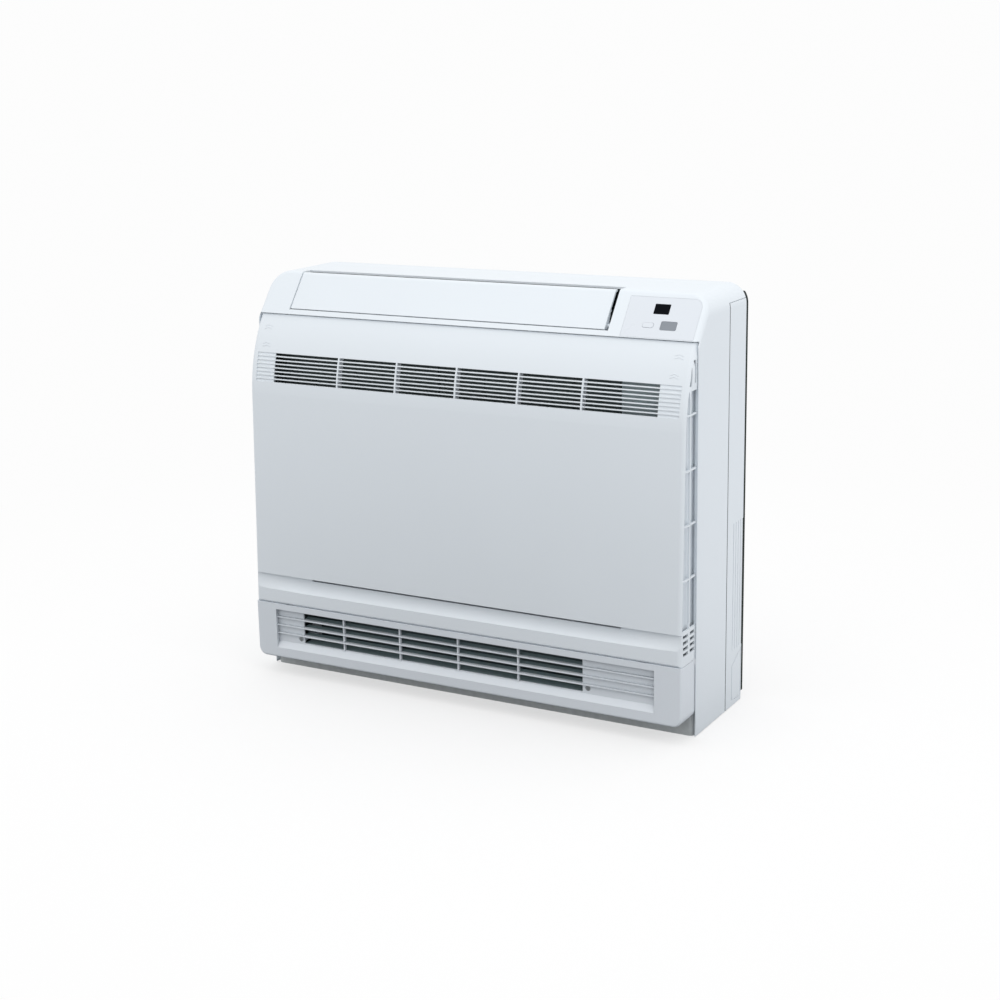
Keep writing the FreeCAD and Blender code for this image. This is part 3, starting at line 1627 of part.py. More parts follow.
def fan_motor():
    """Flat round motor with a bearing nose, bored for its shaft."""
    bore = shaft_radius + running_gap
    end = motor_front_y + shaft_in_motor + slip_gap
    return turned([
        (bore, motor_front_y - motor_nose_length, 0),
        (motor_nose_radius, motor_front_y - motor_nose_length, motor_nose_length / 3),
        (motor_nose_radius, motor_front_y, 0),
        (motor_radius, motor_front_y, motor_edge_radius),
        (motor_radius, motor_back_y, motor_edge_radius / 2),
        (0, motor_back_y, 0),
        (0, end, 0),
        (bore, end, 0),
    ], fan_x, fan_z)


def motor_mount():
    """Dish that takes the motor's back, on four arms against the duct's back sheet."""
    dish = turned([
        (0, motor_back_y, 0),
        (motor_radius + slip_gap, motor_back_y, 0),
        (motor_radius + slip_gap, motor_back_y - mount_collar_length, 0),
        (motor_radius + slip_gap + mount_wall, motor_back_y - mount_collar_length, 0),
        (motor_radius + slip_gap + mount_wall, motor_back_y, mount_wall / 2),
        (mount_radius, motor_back_y, 0),
        (mount_radius, motor_back_y + mount_wall, 0),
        (0, motor_back_y + mount_wall, 0),
    ], fan_x, fan_z)
    pieces = [dish]
    for index in range(mount_arm_count):
        arm = rectangle(fan_x + motor_radius, fan_x + mount_arm_length, fan_z - mount_arm_width / 2,
                        fan_z + mount_arm_width / 2, mount_arm_width * end_round_share)
        piece = prism_y(arm, motor_back_y, motor_back_y + mount_wall)
        piece = piece.cut(rod(fan_x, motor_back_y - overrun, fan_z, Vector(0, 1, 0),
                              mount_wall + overrun + overrun, motor_radius + mount_wall))
        piece.rotate(Vector(fan_x, 0, fan_z), Vector(0, 1, 0), 45 + 90 * index)
        pieces.append(piece)
    return union(pieces)


# Filters, evaporator, drain pan

def air_filter(x0, x1):
    """Frame with cross bars, a thin mesh web and a finger tab, hung on the front of the intake frame."""
    left = x0 - filter_overlap
    right = x1 + filter_overlap
    low = intake_bottom_z - filter_overlap
    high = intake_top_z + filter_overlap
    y1 = frame_y
    y0 = y1 - filter_thickness
    frame = prism_y(rectangle(left, right, low, high, filter_overlap), y0, y1)
    frame = frame.cut(box(left + filter_frame, right - filter_frame, y0 - overrun, y1 + overrun,
                          low + filter_frame, high - filter_frame))
    middle = (y0 + y1) / 2
    pieces = [frame, box(left + filter_frame / 2, right - filter_frame / 2, middle - filter_web / 2,
                         middle + filter_web / 2, low + filter_frame / 2, high - filter_frame / 2)]
    for index in range(filter_bars):
        across = left + (right - left) * (index + 1) / (filter_bars + 1)
        up = low + (high - low) * (index + 1) / (filter_bars + 1)
        pieces.append(box(across - filter_bar / 2, across + filter_bar / 2, y0, y1, low + filter_frame / 2,
                          high - filter_frame / 2))
        pieces.append(box(left + filter_frame / 2, right - filter_frame / 2, y0, y1, up - filter_bar / 2,
                          up + filter_bar / 2))
    centre = (left + right) / 2
    tab = rectangle(centre - filter_tab_width / 2, centre + filter_tab_width / 2, high - filter_overlap,
                    high + filter_tab_height, filter_overlap / 2)
    pieces.append(prism_y(tab, y0, middle))
    return union(pieces)


def air_filter_left():
    return air_filter(intake_x0 + filter_overlap, intake_middle_x - mullion / 2 - filter_overlap / 2)


def air_filter_right():
    return air_filter(intake_middle_x + mullion / 2 + filter_overlap / 2, intake_x1 - filter_overlap)


def tube_y(row):
    middle = (coil_front_y + coil_back_y) / 2
    return middle + (row - (tube_rows - 1) / 2) * tube_row_pitch


def tube_low_z():
    return coil_bottom_z + (coil_height - (tube_count - 1) * tube_pitch) / 2


def evaporator_fins():
    """Fin pack with proud fin edges on its front, bored for the tubes."""
    core = box(coil_x0, coil_x1, coil_front_y + coil_fin_height, coil_back_y, coil_bottom_z, coil_top_z)
    count = int((coil_x1 - coil_x0) / coil_fin_pitch)
    start = (coil_x0 + coil_x1 - (count - 1) * coil_fin_pitch) / 2
    fins = [core]
    for index in range(count):
        x = start + index * coil_fin_pitch
        fins.append(box(x - coil_fin_wall / 2, x + coil_fin_wall / 2, coil_front_y,
                        coil_front_y + coil_fin_height, coil_bottom_z, coil_top_z))
    pack = fins[0].multiFuse(fins[1:])
    bores = []
    for row in range(tube_rows):
        for index in range(tube_count):
            bores.append(rod(coil_x0 - overrun, tube_y(row), tube_low_z() + index * tube_pitch, Vector(1, 0, 0),
                             coil_x1 - coil_x0 + overrun + overrun, tube_radius + tube_gap))
    return pack.cut(bores)


def tube_ends():
    left = coil_x0 - plate_wall - tube_end_reach
    right = coil_x1 + plate_wall + tube_end_reach
    return (left, right)


def evaporator_tubes():
    """One winding tube through both rows, joined by a bend at the top."""
    left, right = tube_ends()
    half = tube_pitch / 2
    rows = []
    for row in range(tube_rows):
        y = tube_y(row)
        points = [Vector(right, y, tube_low_z())]
        for index in range(tube_count - 1):
            x = left - half if index % 2 == 0 else right + half
            z = tube_low_z() + index * tube_pitch
            points.append(Vector(x, y, z))
            points.append(Vector(x, y, z + tube_pitch))
        points.append(Vector(right, y, tube_low_z() + (tube_count - 1) * tube_pitch))
        rows.append(bent_pipe(points, tube_radius, half))
    top = tube_low_z() + (tube_count - 1) * tube_pitch
    start = Vector(right, tube_y(0), top)
    axis_point = Vector(right, (tube_y(0) + tube_y(tube_rows - 1)) / 2, top)
    section = Part.Face(Part.Wire(Part.makeCircle(tube_radius, start, Vector(1, 0, 0))))
    return rows[0].multiFuse(rows[1:] + [section.revolve(axis_point, Vector(0, 0, 1), 180)])


def evaporator_end_plates():
    plates = []
    low = pan_bottom_z + pan_wall + slip_gap
    for x0 in [coil_x0 - plate_wall, coil_x1]:
        plate = box(x0, x0 + plate_wall, coil_front_y, coil_back_y, low, coil_top_z)
        flange = box(x0, x0 + plate_wall, coil_back_y, shroud_y,
                     coil_bottom_z + coil_gap, coil_top_z - coil_gap)
        bores = []
        for row in range(tube_rows):
            for index in range(tube_count):
                bores.append(rod(x0 - overrun, tube_y(row), tube_low_z() + index * tube_pitch, Vector(1, 0, 0),
                                 plate_wall + overrun + overrun, tube_radius + tube_gap))
        keep = rod(fan_x, shroud_y - coil_depth, fan_z, Vector(0, 1, 0), coil_depth,
                   fan_eye_radius + bell_radius + coil_gap)
        plates.append(plate.fuse(flange.cut(keep)).cut(bores))
    return Part.makeCompound(plates)


def pan_extent():
    x0 = coil_x0 - plate_wall - pan_side_gap - pan_wall
    x1 = coil_x1 + pan_end_reach
    return (x0, x1)


def spigot_place():
    x1 = pan_extent()[1]
    return (x1 - spigot_inset, (coil_front_y + coil_back_y) / 2)


def drain_pan():
    x0, x1 = pan_extent()
    y0 = coil_front_y - pan_side_gap / 2 - pan_wall
    y1 = coil_back_y + pan_side_gap / 2 + pan_wall
    outer = [(y0, pan_bottom_z, pan_wall), (y1, pan_bottom_z, pan_wall), (y1, pan_rim_z, 0), (y0, pan_rim_z, 0)]
    inner = [
        (y0 + pan_wall, pan_bottom_z + pan_wall, pan_wall / 2),
        (y1 - pan_wall, pan_bottom_z + pan_wall, pan_wall / 2),
        (y1 - pan_wall, pan_rim_z + overrun, 0),
        (y0 + pan_wall, pan_rim_z + overrun, 0),
    ]
    pan = prism_x(outer, x0, x1).cut(prism_x(inner, x0 + pan_wall, x1 - pan_wall))
    x, y = spigot_place()
    return pan.cut(rod(x, y, pan_bottom_z - overrun, Vector(0, 0, 1), pan_wall + overrun + overrun,
                       spigot_bore_radius))


def drain_spigot():
    x, y = spigot_place()
    start = pan_bottom_z - spigot_length
    tube = rod(x, y, start, Vector(0, 0, 1), spigot_length, spigot_radius)
    return tube.cut(rod(x, y, start - overrun, Vector(0, 0, 1), spigot_length + overrun + overrun,
                        spigot_bore_radius))


# Lower damper

def lower_damper():
    """Flap across the lower passage, hung from its upper edge."""
    x0 = duct_x0 + damper_end_gap
    x1 = duct_x1 - damper_end_gap
    flap = [
        (damper_y - damper_wall / 2, damper_axis_z, 0),
        (damper_y + damper_wall / 2, damper_axis_z, 0),
        (damper_y + damper_wall / 2, damper_axis_z - damper_reach, damper_wall * end_round_share),
        (damper_y - damper_wall / 2, damper_axis_z - damper_reach, damper_wall * end_round_share),
    ]
    pieces = [
        prism_x(flap, x0, x1),
        rod(x0, damper_y, damper_axis_z, Vector(1, 0, 0), x1 - x0, damper_hub_radius),
    ]
    left = duct_x0 - duct_wall
    right = duct_x1 + duct_wall + stepper_socket_depth
    pieces.append(rod(left, damper_y, damper_axis_z, Vector(1, 0, 0), x0 - left, damper_pin_radius))
    pieces.append(rod(x1, damper_y, damper_axis_z, Vector(1, 0, 0), right - x1, damper_pin_radius))
    return union(pieces)


def damper_motor():
    return stepper(duct_x1 + duct_wall + slip_gap, damper_y, damper_axis_z, 0, -1)


# Electrical box

def control_box():
    """Open tray with a ribbed back and four standoffs for the main board."""
    tray = box(box_x0, box_x1, box_front_y, box_back_y, box_bottom_z, box_top_z)
    tray = tray.cut(box(box_x0 + box_wall, box_x1 - box_wall, box_front_y - overrun, box_back_y - box_wall,
                        box_bottom_z + box_wall, box_top_z - box_wall))
    pieces = [tray]
    for index in range(box_rib_count):
        z = (box_bottom_z + box_top_z) / 2 + (index - (box_rib_count - 1) / 2) * box_height * box_rib_share
        pieces.append(box(box_x0, box_x1, box_back_y, box_back_y + box_rib, z, z + box_rib))
    for x in [box_x0 + standoff_inset, box_x1 - standoff_inset]:
        for z in [box_bottom_z + standoff_inset, box_top_z - standoff_inset]:
            pieces.append(rod(x, box_back_y - box_wall - standoff_height, z, Vector(0, 1, 0), standoff_height,
                              standoff_radius))
    return union(pieces)


def control_box_cover():
    """Lid pressed against the intake frame, with a shallow rim into the tray."""
    lid = box(box_x0, box_x1, box_front_y - box_cover_wall, box_front_y, box_bottom_z, box_top_z)
    inner = box_wall + slip_gap
    rim = box(box_x0 + inner, box_x1 - inner, box_front_y, box_front_y + box_cover_wall, box_bottom_z + inner,
              box_top_z - inner)
    rim = rim.cut(box(box_x0 + inner + box_wall, box_x1 - inner - box_wall, box_front_y - overrun,
                      box_front_y + box_cover_wall + overrun, box_bottom_z + inner + box_wall,
                      box_top_z - inner - box_wall))
    return lid.fuse(rim).removeSplitter()


def main_board():
    y1 = box_back_y - box_wall - standoff_height
    margin = box_wall + main_board_margin
    board = box(box_x0 + margin, box_x1 - margin, y1 - board_wall, y1,
                box_bottom_z + margin, box_top_z - margin)
    pieces = [board]
    x0 = box_x0 + margin + standoff_inset
    x1 = box_x1 - margin - standoff_inset
    for low_share, high_share, reach_share in component_shares:
        pieces.append(box(x0, x1, y1 - board_wall - component_reach * reach_share, y1 - board_wall,
                          box_bottom_z + box_height * low_share, box_bottom_z + box_height * high_share))
    return union(pieces)


def terminal_block():
    """Row of screw terminals on the box's floor."""
    x0 = (box_x0 + box_x1 - terminal_length) / 2
    y0 = box_front_y + box_cover_wall + terminal_depth / 2
    z0 = box_bottom_z + box_wall
    block = box(x0, x0 + terminal_length, y0, y0 + terminal_depth, z0, z0 + terminal_height)
    cuts = []
    for index in range(terminal_poles):
        x = x0 + terminal_length * (index + 0.5) / terminal_poles
        cuts.append(rod(x, y0 + terminal_depth / 2, z0 + terminal_height - terminal_screw_depth,
                        Vector(0, 0, 1),
                        terminal_screw_depth + overrun, terminal_screw_radius))
    return block.cut(cuts)


# Pipes and cable gland

def pipe_route(row, inset, low_z):
    right = tube_ends()[1]
    x = side_x - inset
    y = tube_y(row)
    z = tube_low_z()
    end = case_back_y - pipe_end_setback
    return [Vector(right, y, z), Vector(x, y, z), Vector(x, y, low_z), Vector(x, end, low_z)]


def gas_pipe():
    return bent_pipe(pipe_route(0, gas_pipe_inset, gas_pipe_low_z), gas_pipe_radius, pipe_bend_radius)


def liquid_pipe():
    return bent_pipe(pipe_route(1, liquid_pipe_inset, liquid_pipe_low_z), liquid_pipe_radius, pipe_bend_radius)


def flare_nut(inset, z, pipe_radius, nut_radius):
    x = side_x - inset
    y1 = case_back_y - pipe_end_setback
    y0 = y1 - nut_length
    nut = prism_y(hexagon(x, z, nut_radius), y0, y1)
    return nut.cut(rod(x, y0 - overrun, z, Vector(0, 1, 0), nut_length + overrun + overrun,
                       pipe_radius + running_gap))


def pipe_nuts():
    return Part.makeCompound([
        flare_nut(gas_pipe_inset, gas_pipe_low_z, gas_pipe_radius, gas_nut_radius),
        flare_nut(liquid_pipe_inset, liquid_pipe_low_z, liquid_pipe_radius, liquid_nut_radius),
    ])


def cable_gland():
    """Grommet with a flange on each face of the back wall."""
    inner = gland_radius - gland_flange - running_gap
    return turned([
        (gland_bore_radius, case_back_y - case_wall - gland_flange_wall, 0),
        (gland_radius, case_back_y - case_wall - gland_flange_wall, 0),
        (gland_radius, case_back_y - case_wall, 0),
        (inner, case_back_y - case_wall, 0),
        (inner, case_back_y, 0),
        (gland_radius, case_back_y, 0),
        (gland_radius, case_back_y + gland_flange_wall, gland_flange_wall / 2),
        (gland_bore_radius, case_back_y + gland_flange_wall, 0),
    ], side_x - gland_x_inset, gland_z)


makers = {
    "front_case": front_case,
    "rear_case": rear_case,
    "wall_seal": wall_seal,
    "base_pan": base_pan,
    "front_panel": front_panel,
    "panel_hinge_pins": panel_hinge_pins,
    "stopper_left": stopper_left,
    "stopper_right": stopper_right,
    "lower_front_case": lower_front_case,
    "case_screws": case_screws,
    "upper_louver": upper_louver,
    "louver_motor": louver_motor,
    "display_panel": display_panel,
    "display_window": display_window,
    "receiver_window": receiver_window,
    "aux_button": aux_button,
    "display_board": display_board,
    "vane_carrier": vane_carrier,
    "air_duct": air_duct,
    "fan_shroud": fan_shroud,
    "turbo_fan": turbo_fan,
    "fan_nut": fan_nut,
    "motor_shaft": motor_shaft,
    "fan_motor": fan_motor,
    "motor_mount": motor_mount,
    "air_filter_left": air_filter_left,
    "air_filter_right": air_filter_right,
    "evaporator_fins": evaporator_fins,
    "evaporator_tubes": evaporator_tubes,
    "evaporator_end_plates": evaporator_end_plates,
    "drain_pan": drain_pan,
    "drain_spigot": drain_spigot,
    "lower_damper": lower_damper,
    "damper_motor": damper_motor,
    "control_box": control_box,
    "control_box_cover": control_box_cover,
    "main_board": main_board,
    "terminal_block": terminal_block,
    "gas_pipe": gas_pipe,
    "liquid_pipe": liquid_pipe,
    "pipe_nuts": pipe_nuts,
    "cable_gland": cable_gland,
}

os.makedirs("parts", exist_ok=True)
for name, make in makers.items():
    make().exportStep("parts/" + name + ".step")
for number in range(vane_count):
    vane(number).exportStep("parts/vane_%d.step" % (number + 1))
half_count = vane_count // 2
vane_link(0, half_count - 1).exportStep("parts/vane_link_left.step")
vane_link(half_count, vane_count - 1).exportStep("parts/vane_link_right.step")
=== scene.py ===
import json
import math

import bpy
from mathutils import Matrix, Vector

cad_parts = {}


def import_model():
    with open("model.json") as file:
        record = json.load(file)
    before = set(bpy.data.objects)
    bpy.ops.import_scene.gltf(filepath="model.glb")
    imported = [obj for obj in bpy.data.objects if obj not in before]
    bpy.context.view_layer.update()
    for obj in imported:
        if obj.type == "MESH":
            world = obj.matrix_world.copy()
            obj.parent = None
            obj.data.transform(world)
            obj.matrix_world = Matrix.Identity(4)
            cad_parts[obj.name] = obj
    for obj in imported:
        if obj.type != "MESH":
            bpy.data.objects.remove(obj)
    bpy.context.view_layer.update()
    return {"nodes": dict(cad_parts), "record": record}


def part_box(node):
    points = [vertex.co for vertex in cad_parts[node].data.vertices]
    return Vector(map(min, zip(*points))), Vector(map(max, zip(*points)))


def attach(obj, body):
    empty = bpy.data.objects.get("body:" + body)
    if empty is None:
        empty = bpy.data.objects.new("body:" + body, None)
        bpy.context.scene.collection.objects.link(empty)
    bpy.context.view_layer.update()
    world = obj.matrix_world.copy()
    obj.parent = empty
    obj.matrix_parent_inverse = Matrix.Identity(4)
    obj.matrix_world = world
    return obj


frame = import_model()
nodes = frame["nodes"]
scene = bpy.context.scene
scene.view_settings.view_transform = "Standard"


# Materials, with lengths in metres

shader_samples = 4


def new_material(name):
    material = bpy.data.materials.new(name)
    material.use_nodes = True
    tree = material.node_tree
    shader = tree.nodes["Principled BSDF"]
    place = tree.nodes.new("ShaderNodeTexCoord")
    return material, tree, shader, place.outputs["Object"]


def noise(tree, place, scale, detail=3.0, roughness=0.6):
    node = tree.nodes.new("ShaderNodeTexNoise")
    node.inputs["Scale"].default_value = scale
    node.inputs["Detail"].default_value = detail
    node.inputs["Roughness"].default_value = roughness
    tree.links.new(place, node.inputs["Vector"])
    return node.outputs["Fac"]


def bands(tree, place, axis, pitch):
    """Bands across one axis: the wave texture has 10 * scale / pi of them in a metre."""
    node = tree.nodes.new("ShaderNodeTexWave")
    node.bands_direction = axis
    node.inputs["Scale"].default_value = math.pi / (10.0 * pitch)
    tree.links.new(place, node.inputs["Vector"])
    return node.outputs["Fac"]


def ramp(tree, value, low, high, start=0.3, end=0.7):
    """Spreads a value's stretch from start to end between two numbers."""
    node = tree.nodes.new("ShaderNodeMapRange")
    node.inputs["From Min"].default_value = start
    node.inputs["From Max"].default_value = end
    node.inputs["To Min"].default_value = low
    node.inputs["To Max"].default_value = high
    tree.links.new(value, node.inputs["Value"])
    return node.outputs["Result"]


def tint(tree, value, first, second):
    """Mixes two plain colours by a value."""
    node = tree.nodes.new("ShaderNodeMix")
    node.data_type = "RGBA"
    tree.links.new(value, node.inputs["Factor"])
    node.inputs["A"].default_value = (*first, 1.0)
    node.inputs["B"].default_value = (*second, 1.0)
    return node.outputs["Result"]


def cover_with(tree, value, color, unshaded):
    """Shows a plain colour where the value is 0, and the unshaded colour where it is 1."""
    node = tree.nodes.new("ShaderNodeMix")
    node.data_type = "RGBA"
    tree.links.new(value, node.inputs["Factor"])
    node.inputs["A"].default_value = (*color, 1.0)
    tree.links.new(unshaded, node.inputs["B"])
    return node.outputs["Result"]


def darkened(color, share):
    return tuple(channel * share for channel in color)


def vary_roughness(tree, shader, value, low, high):
    tree.links.new(ramp(tree, value, low, high), shader.inputs["Roughness"])


def bump(tree, shader, height, strength, distance, edge_radius=0.0):
    node = tree.nodes.new("ShaderNodeBump")
    node.inputs["Strength"].default_value = strength
    node.inputs["Distance"].default_value = distance
    tree.links.new(height, node.inputs["Height"])
    if edge_radius > 0:
        bevel = tree.nodes.new("ShaderNodeBevel")
        bevel.samples = shader_samples
        bevel.inputs["Radius"].default_value = edge_radius
        tree.links.new(bevel.outputs["Normal"], node.inputs["Normal"])
    tree.links.new(node.outputs["Normal"], shader.inputs["Normal"])


def painted_hollow_shade(tree, unshaded, hollow_shade_color):
    """Painted shade: darkens hollows and corners, within reach of what closes them in."""
    reach = 0.025
    full_shade_openness = 0.1
    unshaded_openness = 0.8
    hollow = tree.nodes.new("ShaderNodeAmbientOcclusion")
    hollow.samples = shader_samples
    hollow.only_local = True
    hollow.inputs["Distance"].default_value = reach
    openness = ramp(tree, hollow.outputs["AO"], 0.0, 1.0, full_shade_openness, unshaded_openness)
    return cover_with(tree, openness, hollow_shade_color, unshaded)


def moulded_plastic(name, color, roughness, spread=0.025, grain=0.12, edge_radius=0.0007, hollow_shade_color=None):
    """Moulded plastic: faint cloudy shade, fine grain, soft edges, and painted shade in hollows if asked
    for.
    """
    cloud_scale = 9.0
    grain_scale = 1500.0
    grain_height = 0.0002
    swing = 0.05
    material, tree, shader, place = new_material(name)
    cloud = noise(tree, place, cloud_scale, detail=4.0)
    shade = tint(tree, cloud, darkened(color, 1 - spread), color)
    if hollow_shade_color:
        shade = painted_hollow_shade(tree, shade, hollow_shade_color)
    tree.links.new(shade, shader.inputs["Base Color"])
    vary_roughness(tree, shader, cloud, roughness - swing, roughness + swing)
    bump(tree, shader, noise(tree, place, grain_scale, detail=2.0), grain, grain_height, edge_radius)
    return material


def sheet_metal(name, color, roughness, metallic, spangle=40.0):
    """Painted or zinc-coated sheet with faint patches."""
    patch_share = 0.86
    fine_scale = 260.0
    swing = 0.08
    material, tree, shader, place = new_material(name)
    shader.inputs["Metallic"].default_value = metallic
    patch = tree.nodes.new("ShaderNodeTexVoronoi")
    patch.inputs["Scale"].default_value = spangle
    tree.links.new(place, patch.inputs["Vector"])
    shade = tint(tree, patch.outputs["Distance"], darkened(color, patch_share), color)
    tree.links.new(shade, shader.inputs["Base Color"])
    fine = noise(tree, place, fine_scale, detail=4.0)
    vary_roughness(tree, shader, fine, roughness - swing, roughness + swing)
    bump(tree, shader, fine, strength=0.08, distance=0.0003)
    return material


def brushed_metal(name, color, roughness, stretch):
    """Drawn or turned metal with fine lines along the axis whose scale is small."""
    line_share = 0.8
    line_scale = 160.0
    swing = 0.1
    material, tree, shader, place = new_material(name)
    shader.inputs["Metallic"].default_value = 1.0
    mapping = tree.nodes.new("ShaderNodeMapping")
    mapping.inputs["Scale"].default_value = stretch
    tree.links.new(place, mapping.inputs["Vector"])
    lines = noise(tree, mapping.outputs["Vector"], line_scale, detail=4.0)
    shade = tint(tree, lines, darkened(color, line_share), color)
    tree.links.new(shade, shader.inputs["Base Color"])
    vary_roughness(tree, shader, lines, roughness - swing, roughness + swing)
    bump(tree, shader, lines, strength=0.15, distance=0.0002)
    return material


def striped(name, color, valley, metallic, roughness, axis, pitch):
    """Fine parallel fins across one axis."""
    cloud_scale = 30.0
    swing = 0.06
    material, tree, shader, place = new_material(name)
    shader.inputs["Metallic"].default_value = metallic
    fins = bands(tree, place, axis, pitch)
    tree.links.new(tint(tree, fins, valley, color), shader.inputs["Base Color"])
    cloud = noise(tree, place, cloud_scale)
    vary_roughness(tree, shader, cloud, roughness - swing, roughness + swing)
    bump(tree, shader, fins, strength=0.6, distance=0.0008)
    return material


def woven(name, color, valley, pitch):
    """Filter mesh: threads across X and Z."""
    material, tree, shader, place = new_material(name)
    shader.inputs["Roughness"].default_value = 0.6
    highest = tree.nodes.new("ShaderNodeMath")
    highest.operation = "MAXIMUM"
    tree.links.new(bands(tree, place, "X", pitch), highest.inputs[0])
    tree.links.new(bands(tree, place, "Z", pitch), highest.inputs[1])
    threads = highest.outputs["Value"]
    tree.links.new(tint(tree, threads, valley, color), shader.inputs["Base Color"])
    bump(tree, shader, threads, strength=0.5, distance=0.0006)
    return material


def smooth_window(name, color, roughness, coat, specular):
    """Polished plastic window with a faint mottle under the surface."""
    cloud_scale = 60.0
    mottle_share = 0.9
    rise = 0.05
    material, tree, shader, place = new_material(name)
    cloud = noise(tree, place, cloud_scale, detail=2.0)
    shade = tint(tree, cloud, darkened(color, mottle_share), color)
    tree.links.new(shade, shader.inputs["Base Color"])
    shader.inputs["Specular IOR Level"].default_value = specular
    shader.inputs["Coat Weight"].default_value = coat
    shader.inputs["Coat Roughness"].default_value = 0.05
    vary_roughness(tree, shader, cloud, roughness, roughness + rise)
    bump(tree, shader, cloud, strength=0.02, distance=0.0002, edge_radius=0.0003)
    return material


def painted_seam_shade(material, seam_y, color):
    """Copy of a plastic with painted shade up to a plane across Y, for an edge inside a seam."""
    fade = 0.0002
    copy = material.copy()
    copy.name = material.name + "_painted_seam_shade"
    tree = copy.node_tree
    shader = tree.nodes["Principled BSDF"]
    place = tree.nodes.new("ShaderNodeTexCoord")
    split = tree.nodes.new("ShaderNodeSeparateXYZ")
    tree.links.new(place.outputs["Object"], split.inputs["Vector"])
    past_seam = ramp(tree, split.outputs["Y"], 0.0, 1.0, seam_y, seam_y + fade)
    plain = shader.inputs["Base Color"].links[0].from_socket
    tree.links.new(cover_with(tree, past_seam, color, plain), shader.inputs["Base Color"])
    return copy


white_shade = (0.755, 0.805, 0.85)
white_roughness = 0.42
finishes = {
    "white_plastic": moulded_plastic("white_plastic", white_shade, white_roughness),
    "pale_inlay": moulded_plastic("pale_inlay", (0.70, 0.74, 0.79), roughness=0.3, spread=0.02,
                                  grain=0.04, edge_radius=0.0003),
    "black_window": smooth_window("black_window", (0.004, 0.005, 0.007), roughness=0.5, coat=0.0,
                                  specular=0.03),
    "grey_window": smooth_window("grey_window", (0.24, 0.265, 0.30), roughness=0.25, coat=0.2,
                                 specular=0.4),
    "grey_plastic": moulded_plastic("grey_plastic", (0.16, 0.215, 0.23), roughness=0.5, spread=0.05),
    "dark_plastic": moulded_plastic("dark_plastic", (0.07, 0.105, 0.115), roughness=0.5, spread=0.1),
    "grey_foam": moulded_plastic("grey_foam", (0.10, 0.125, 0.13), roughness=0.8, spread=0.12, grain=0.4),
    "filter_mesh": woven("filter_mesh", (0.05, 0.075, 0.075), valley=(0.008, 0.012, 0.012), pitch=0.0016),
    "black_foam": moulded_plastic("black_foam", (0.008, 0.015, 0.013), roughness=0.95, spread=0.2,
                                  grain=0.5),
    "black_rubber": moulded_plastic("black_rubber", (0.018, 0.018, 0.018), roughness=0.6, spread=0.15,
                                    grain=0.2),
    "grey_steel": sheet_metal("grey_steel", (0.52, 0.55, 0.56), roughness=0.5, metallic=0.0,
                              spangle=120.0),
    "galvanised_steel": sheet_metal("galvanised_steel", (0.58, 0.60, 0.61), roughness=0.42, metallic=0.9),
    "bright_steel": brushed_metal("bright_steel", (0.62, 0.62, 0.61), roughness=0.3,
                                  stretch=(0.1, 1.0, 1.0)),
    "dark_steel": brushed_metal("dark_steel", (0.55, 0.58, 0.60), roughness=0.5, stretch=(1.0, 0.2, 1.0)),
    "fin_aluminium": striped("fin_aluminium", (0.66, 0.72, 0.74), valley=(0.10, 0.12, 0.13),
                             metallic=0.6, roughness=0.4, axis="X", pitch=0.0018),
    "copper": brushed_metal("copper", (0.78, 0.42, 0.27), roughness=0.3, stretch=(0.15, 1.0, 1.0)),
    "brass": brushed_metal("brass", (0.78, 0.60, 0.28), roughness=0.3, stretch=(1.0, 0.15, 1.0)),
    "green_board": moulded_plastic("green_board", (0.03, 0.16, 0.08), roughness=0.35, spread=0.3,
                                   grain=0.1),
}
# Painted shade: the side cover's grey darkens what shows behind the right end of the upper grille.
cover_shade_finish = moulded_plastic("grey_cover_painted_shade", (0.35, 0.43, 0.455), roughness=0.5, spread=0.05)
sill_finish = moulded_plastic("grey_plastic_sill", (0.25, 0.33, 0.35), roughness=0.5, spread=0.05)

for entry in frame["record"]["subparts"]:
    mesh = nodes[entry["node"]].data
    mesh.materials.clear()
    mesh.materials.append(finishes[entry["material_slot"]])

# Darker copy of the white plastic: painted shade for the lower case, which gets less light.
lower_shaded_white = (0.725, 0.77, 0.82)
# Painted shade: the lower case's hollows and corners are darkened in its colour.
lower_hollow_shade = (0.27, 0.30, 0.33)
lower_shaded_finish = moulded_plastic("white_plastic_painted_hollow_shade", lower_shaded_white, white_roughness, hollow_shade_color=lower_hollow_shade)
nodes["lower_front_case"].data.materials[0] = lower_shaded_finish

# Painted shade: the rear case's front edge inside the seam is darkened in its colour.
seam_shade_color = (0.03, 0.035, 0.04)
seam_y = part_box("rear_case")[0][1]
nodes["rear_case"].data.materials[0] = painted_seam_shade(finishes["white_plastic"], seam_y, seam_shade_color)


# Pieces of the scene alone

def new_piece(name, corners, faces, finish):
    mesh = bpy.data.meshes.new(name)
    mesh.from_pydata(corners, [], faces)
    mesh.materials.append(finish)
    obj = bpy.data.objects.new(name, mesh)
    scene.collection.objects.link(obj)
    return obj


# Raised chevrons that show where to press the front panel

chevron_half = 0.006
chevron_rise = 0.0025
chevron_stroke = 0.0012
chevron_sink = 0.0002
chevron_height = 0.0003
chevron_step = 0.0035
chevron_places = ((0.326, 0.522), (0.324, 0.498))
ray_start_y = -0.4


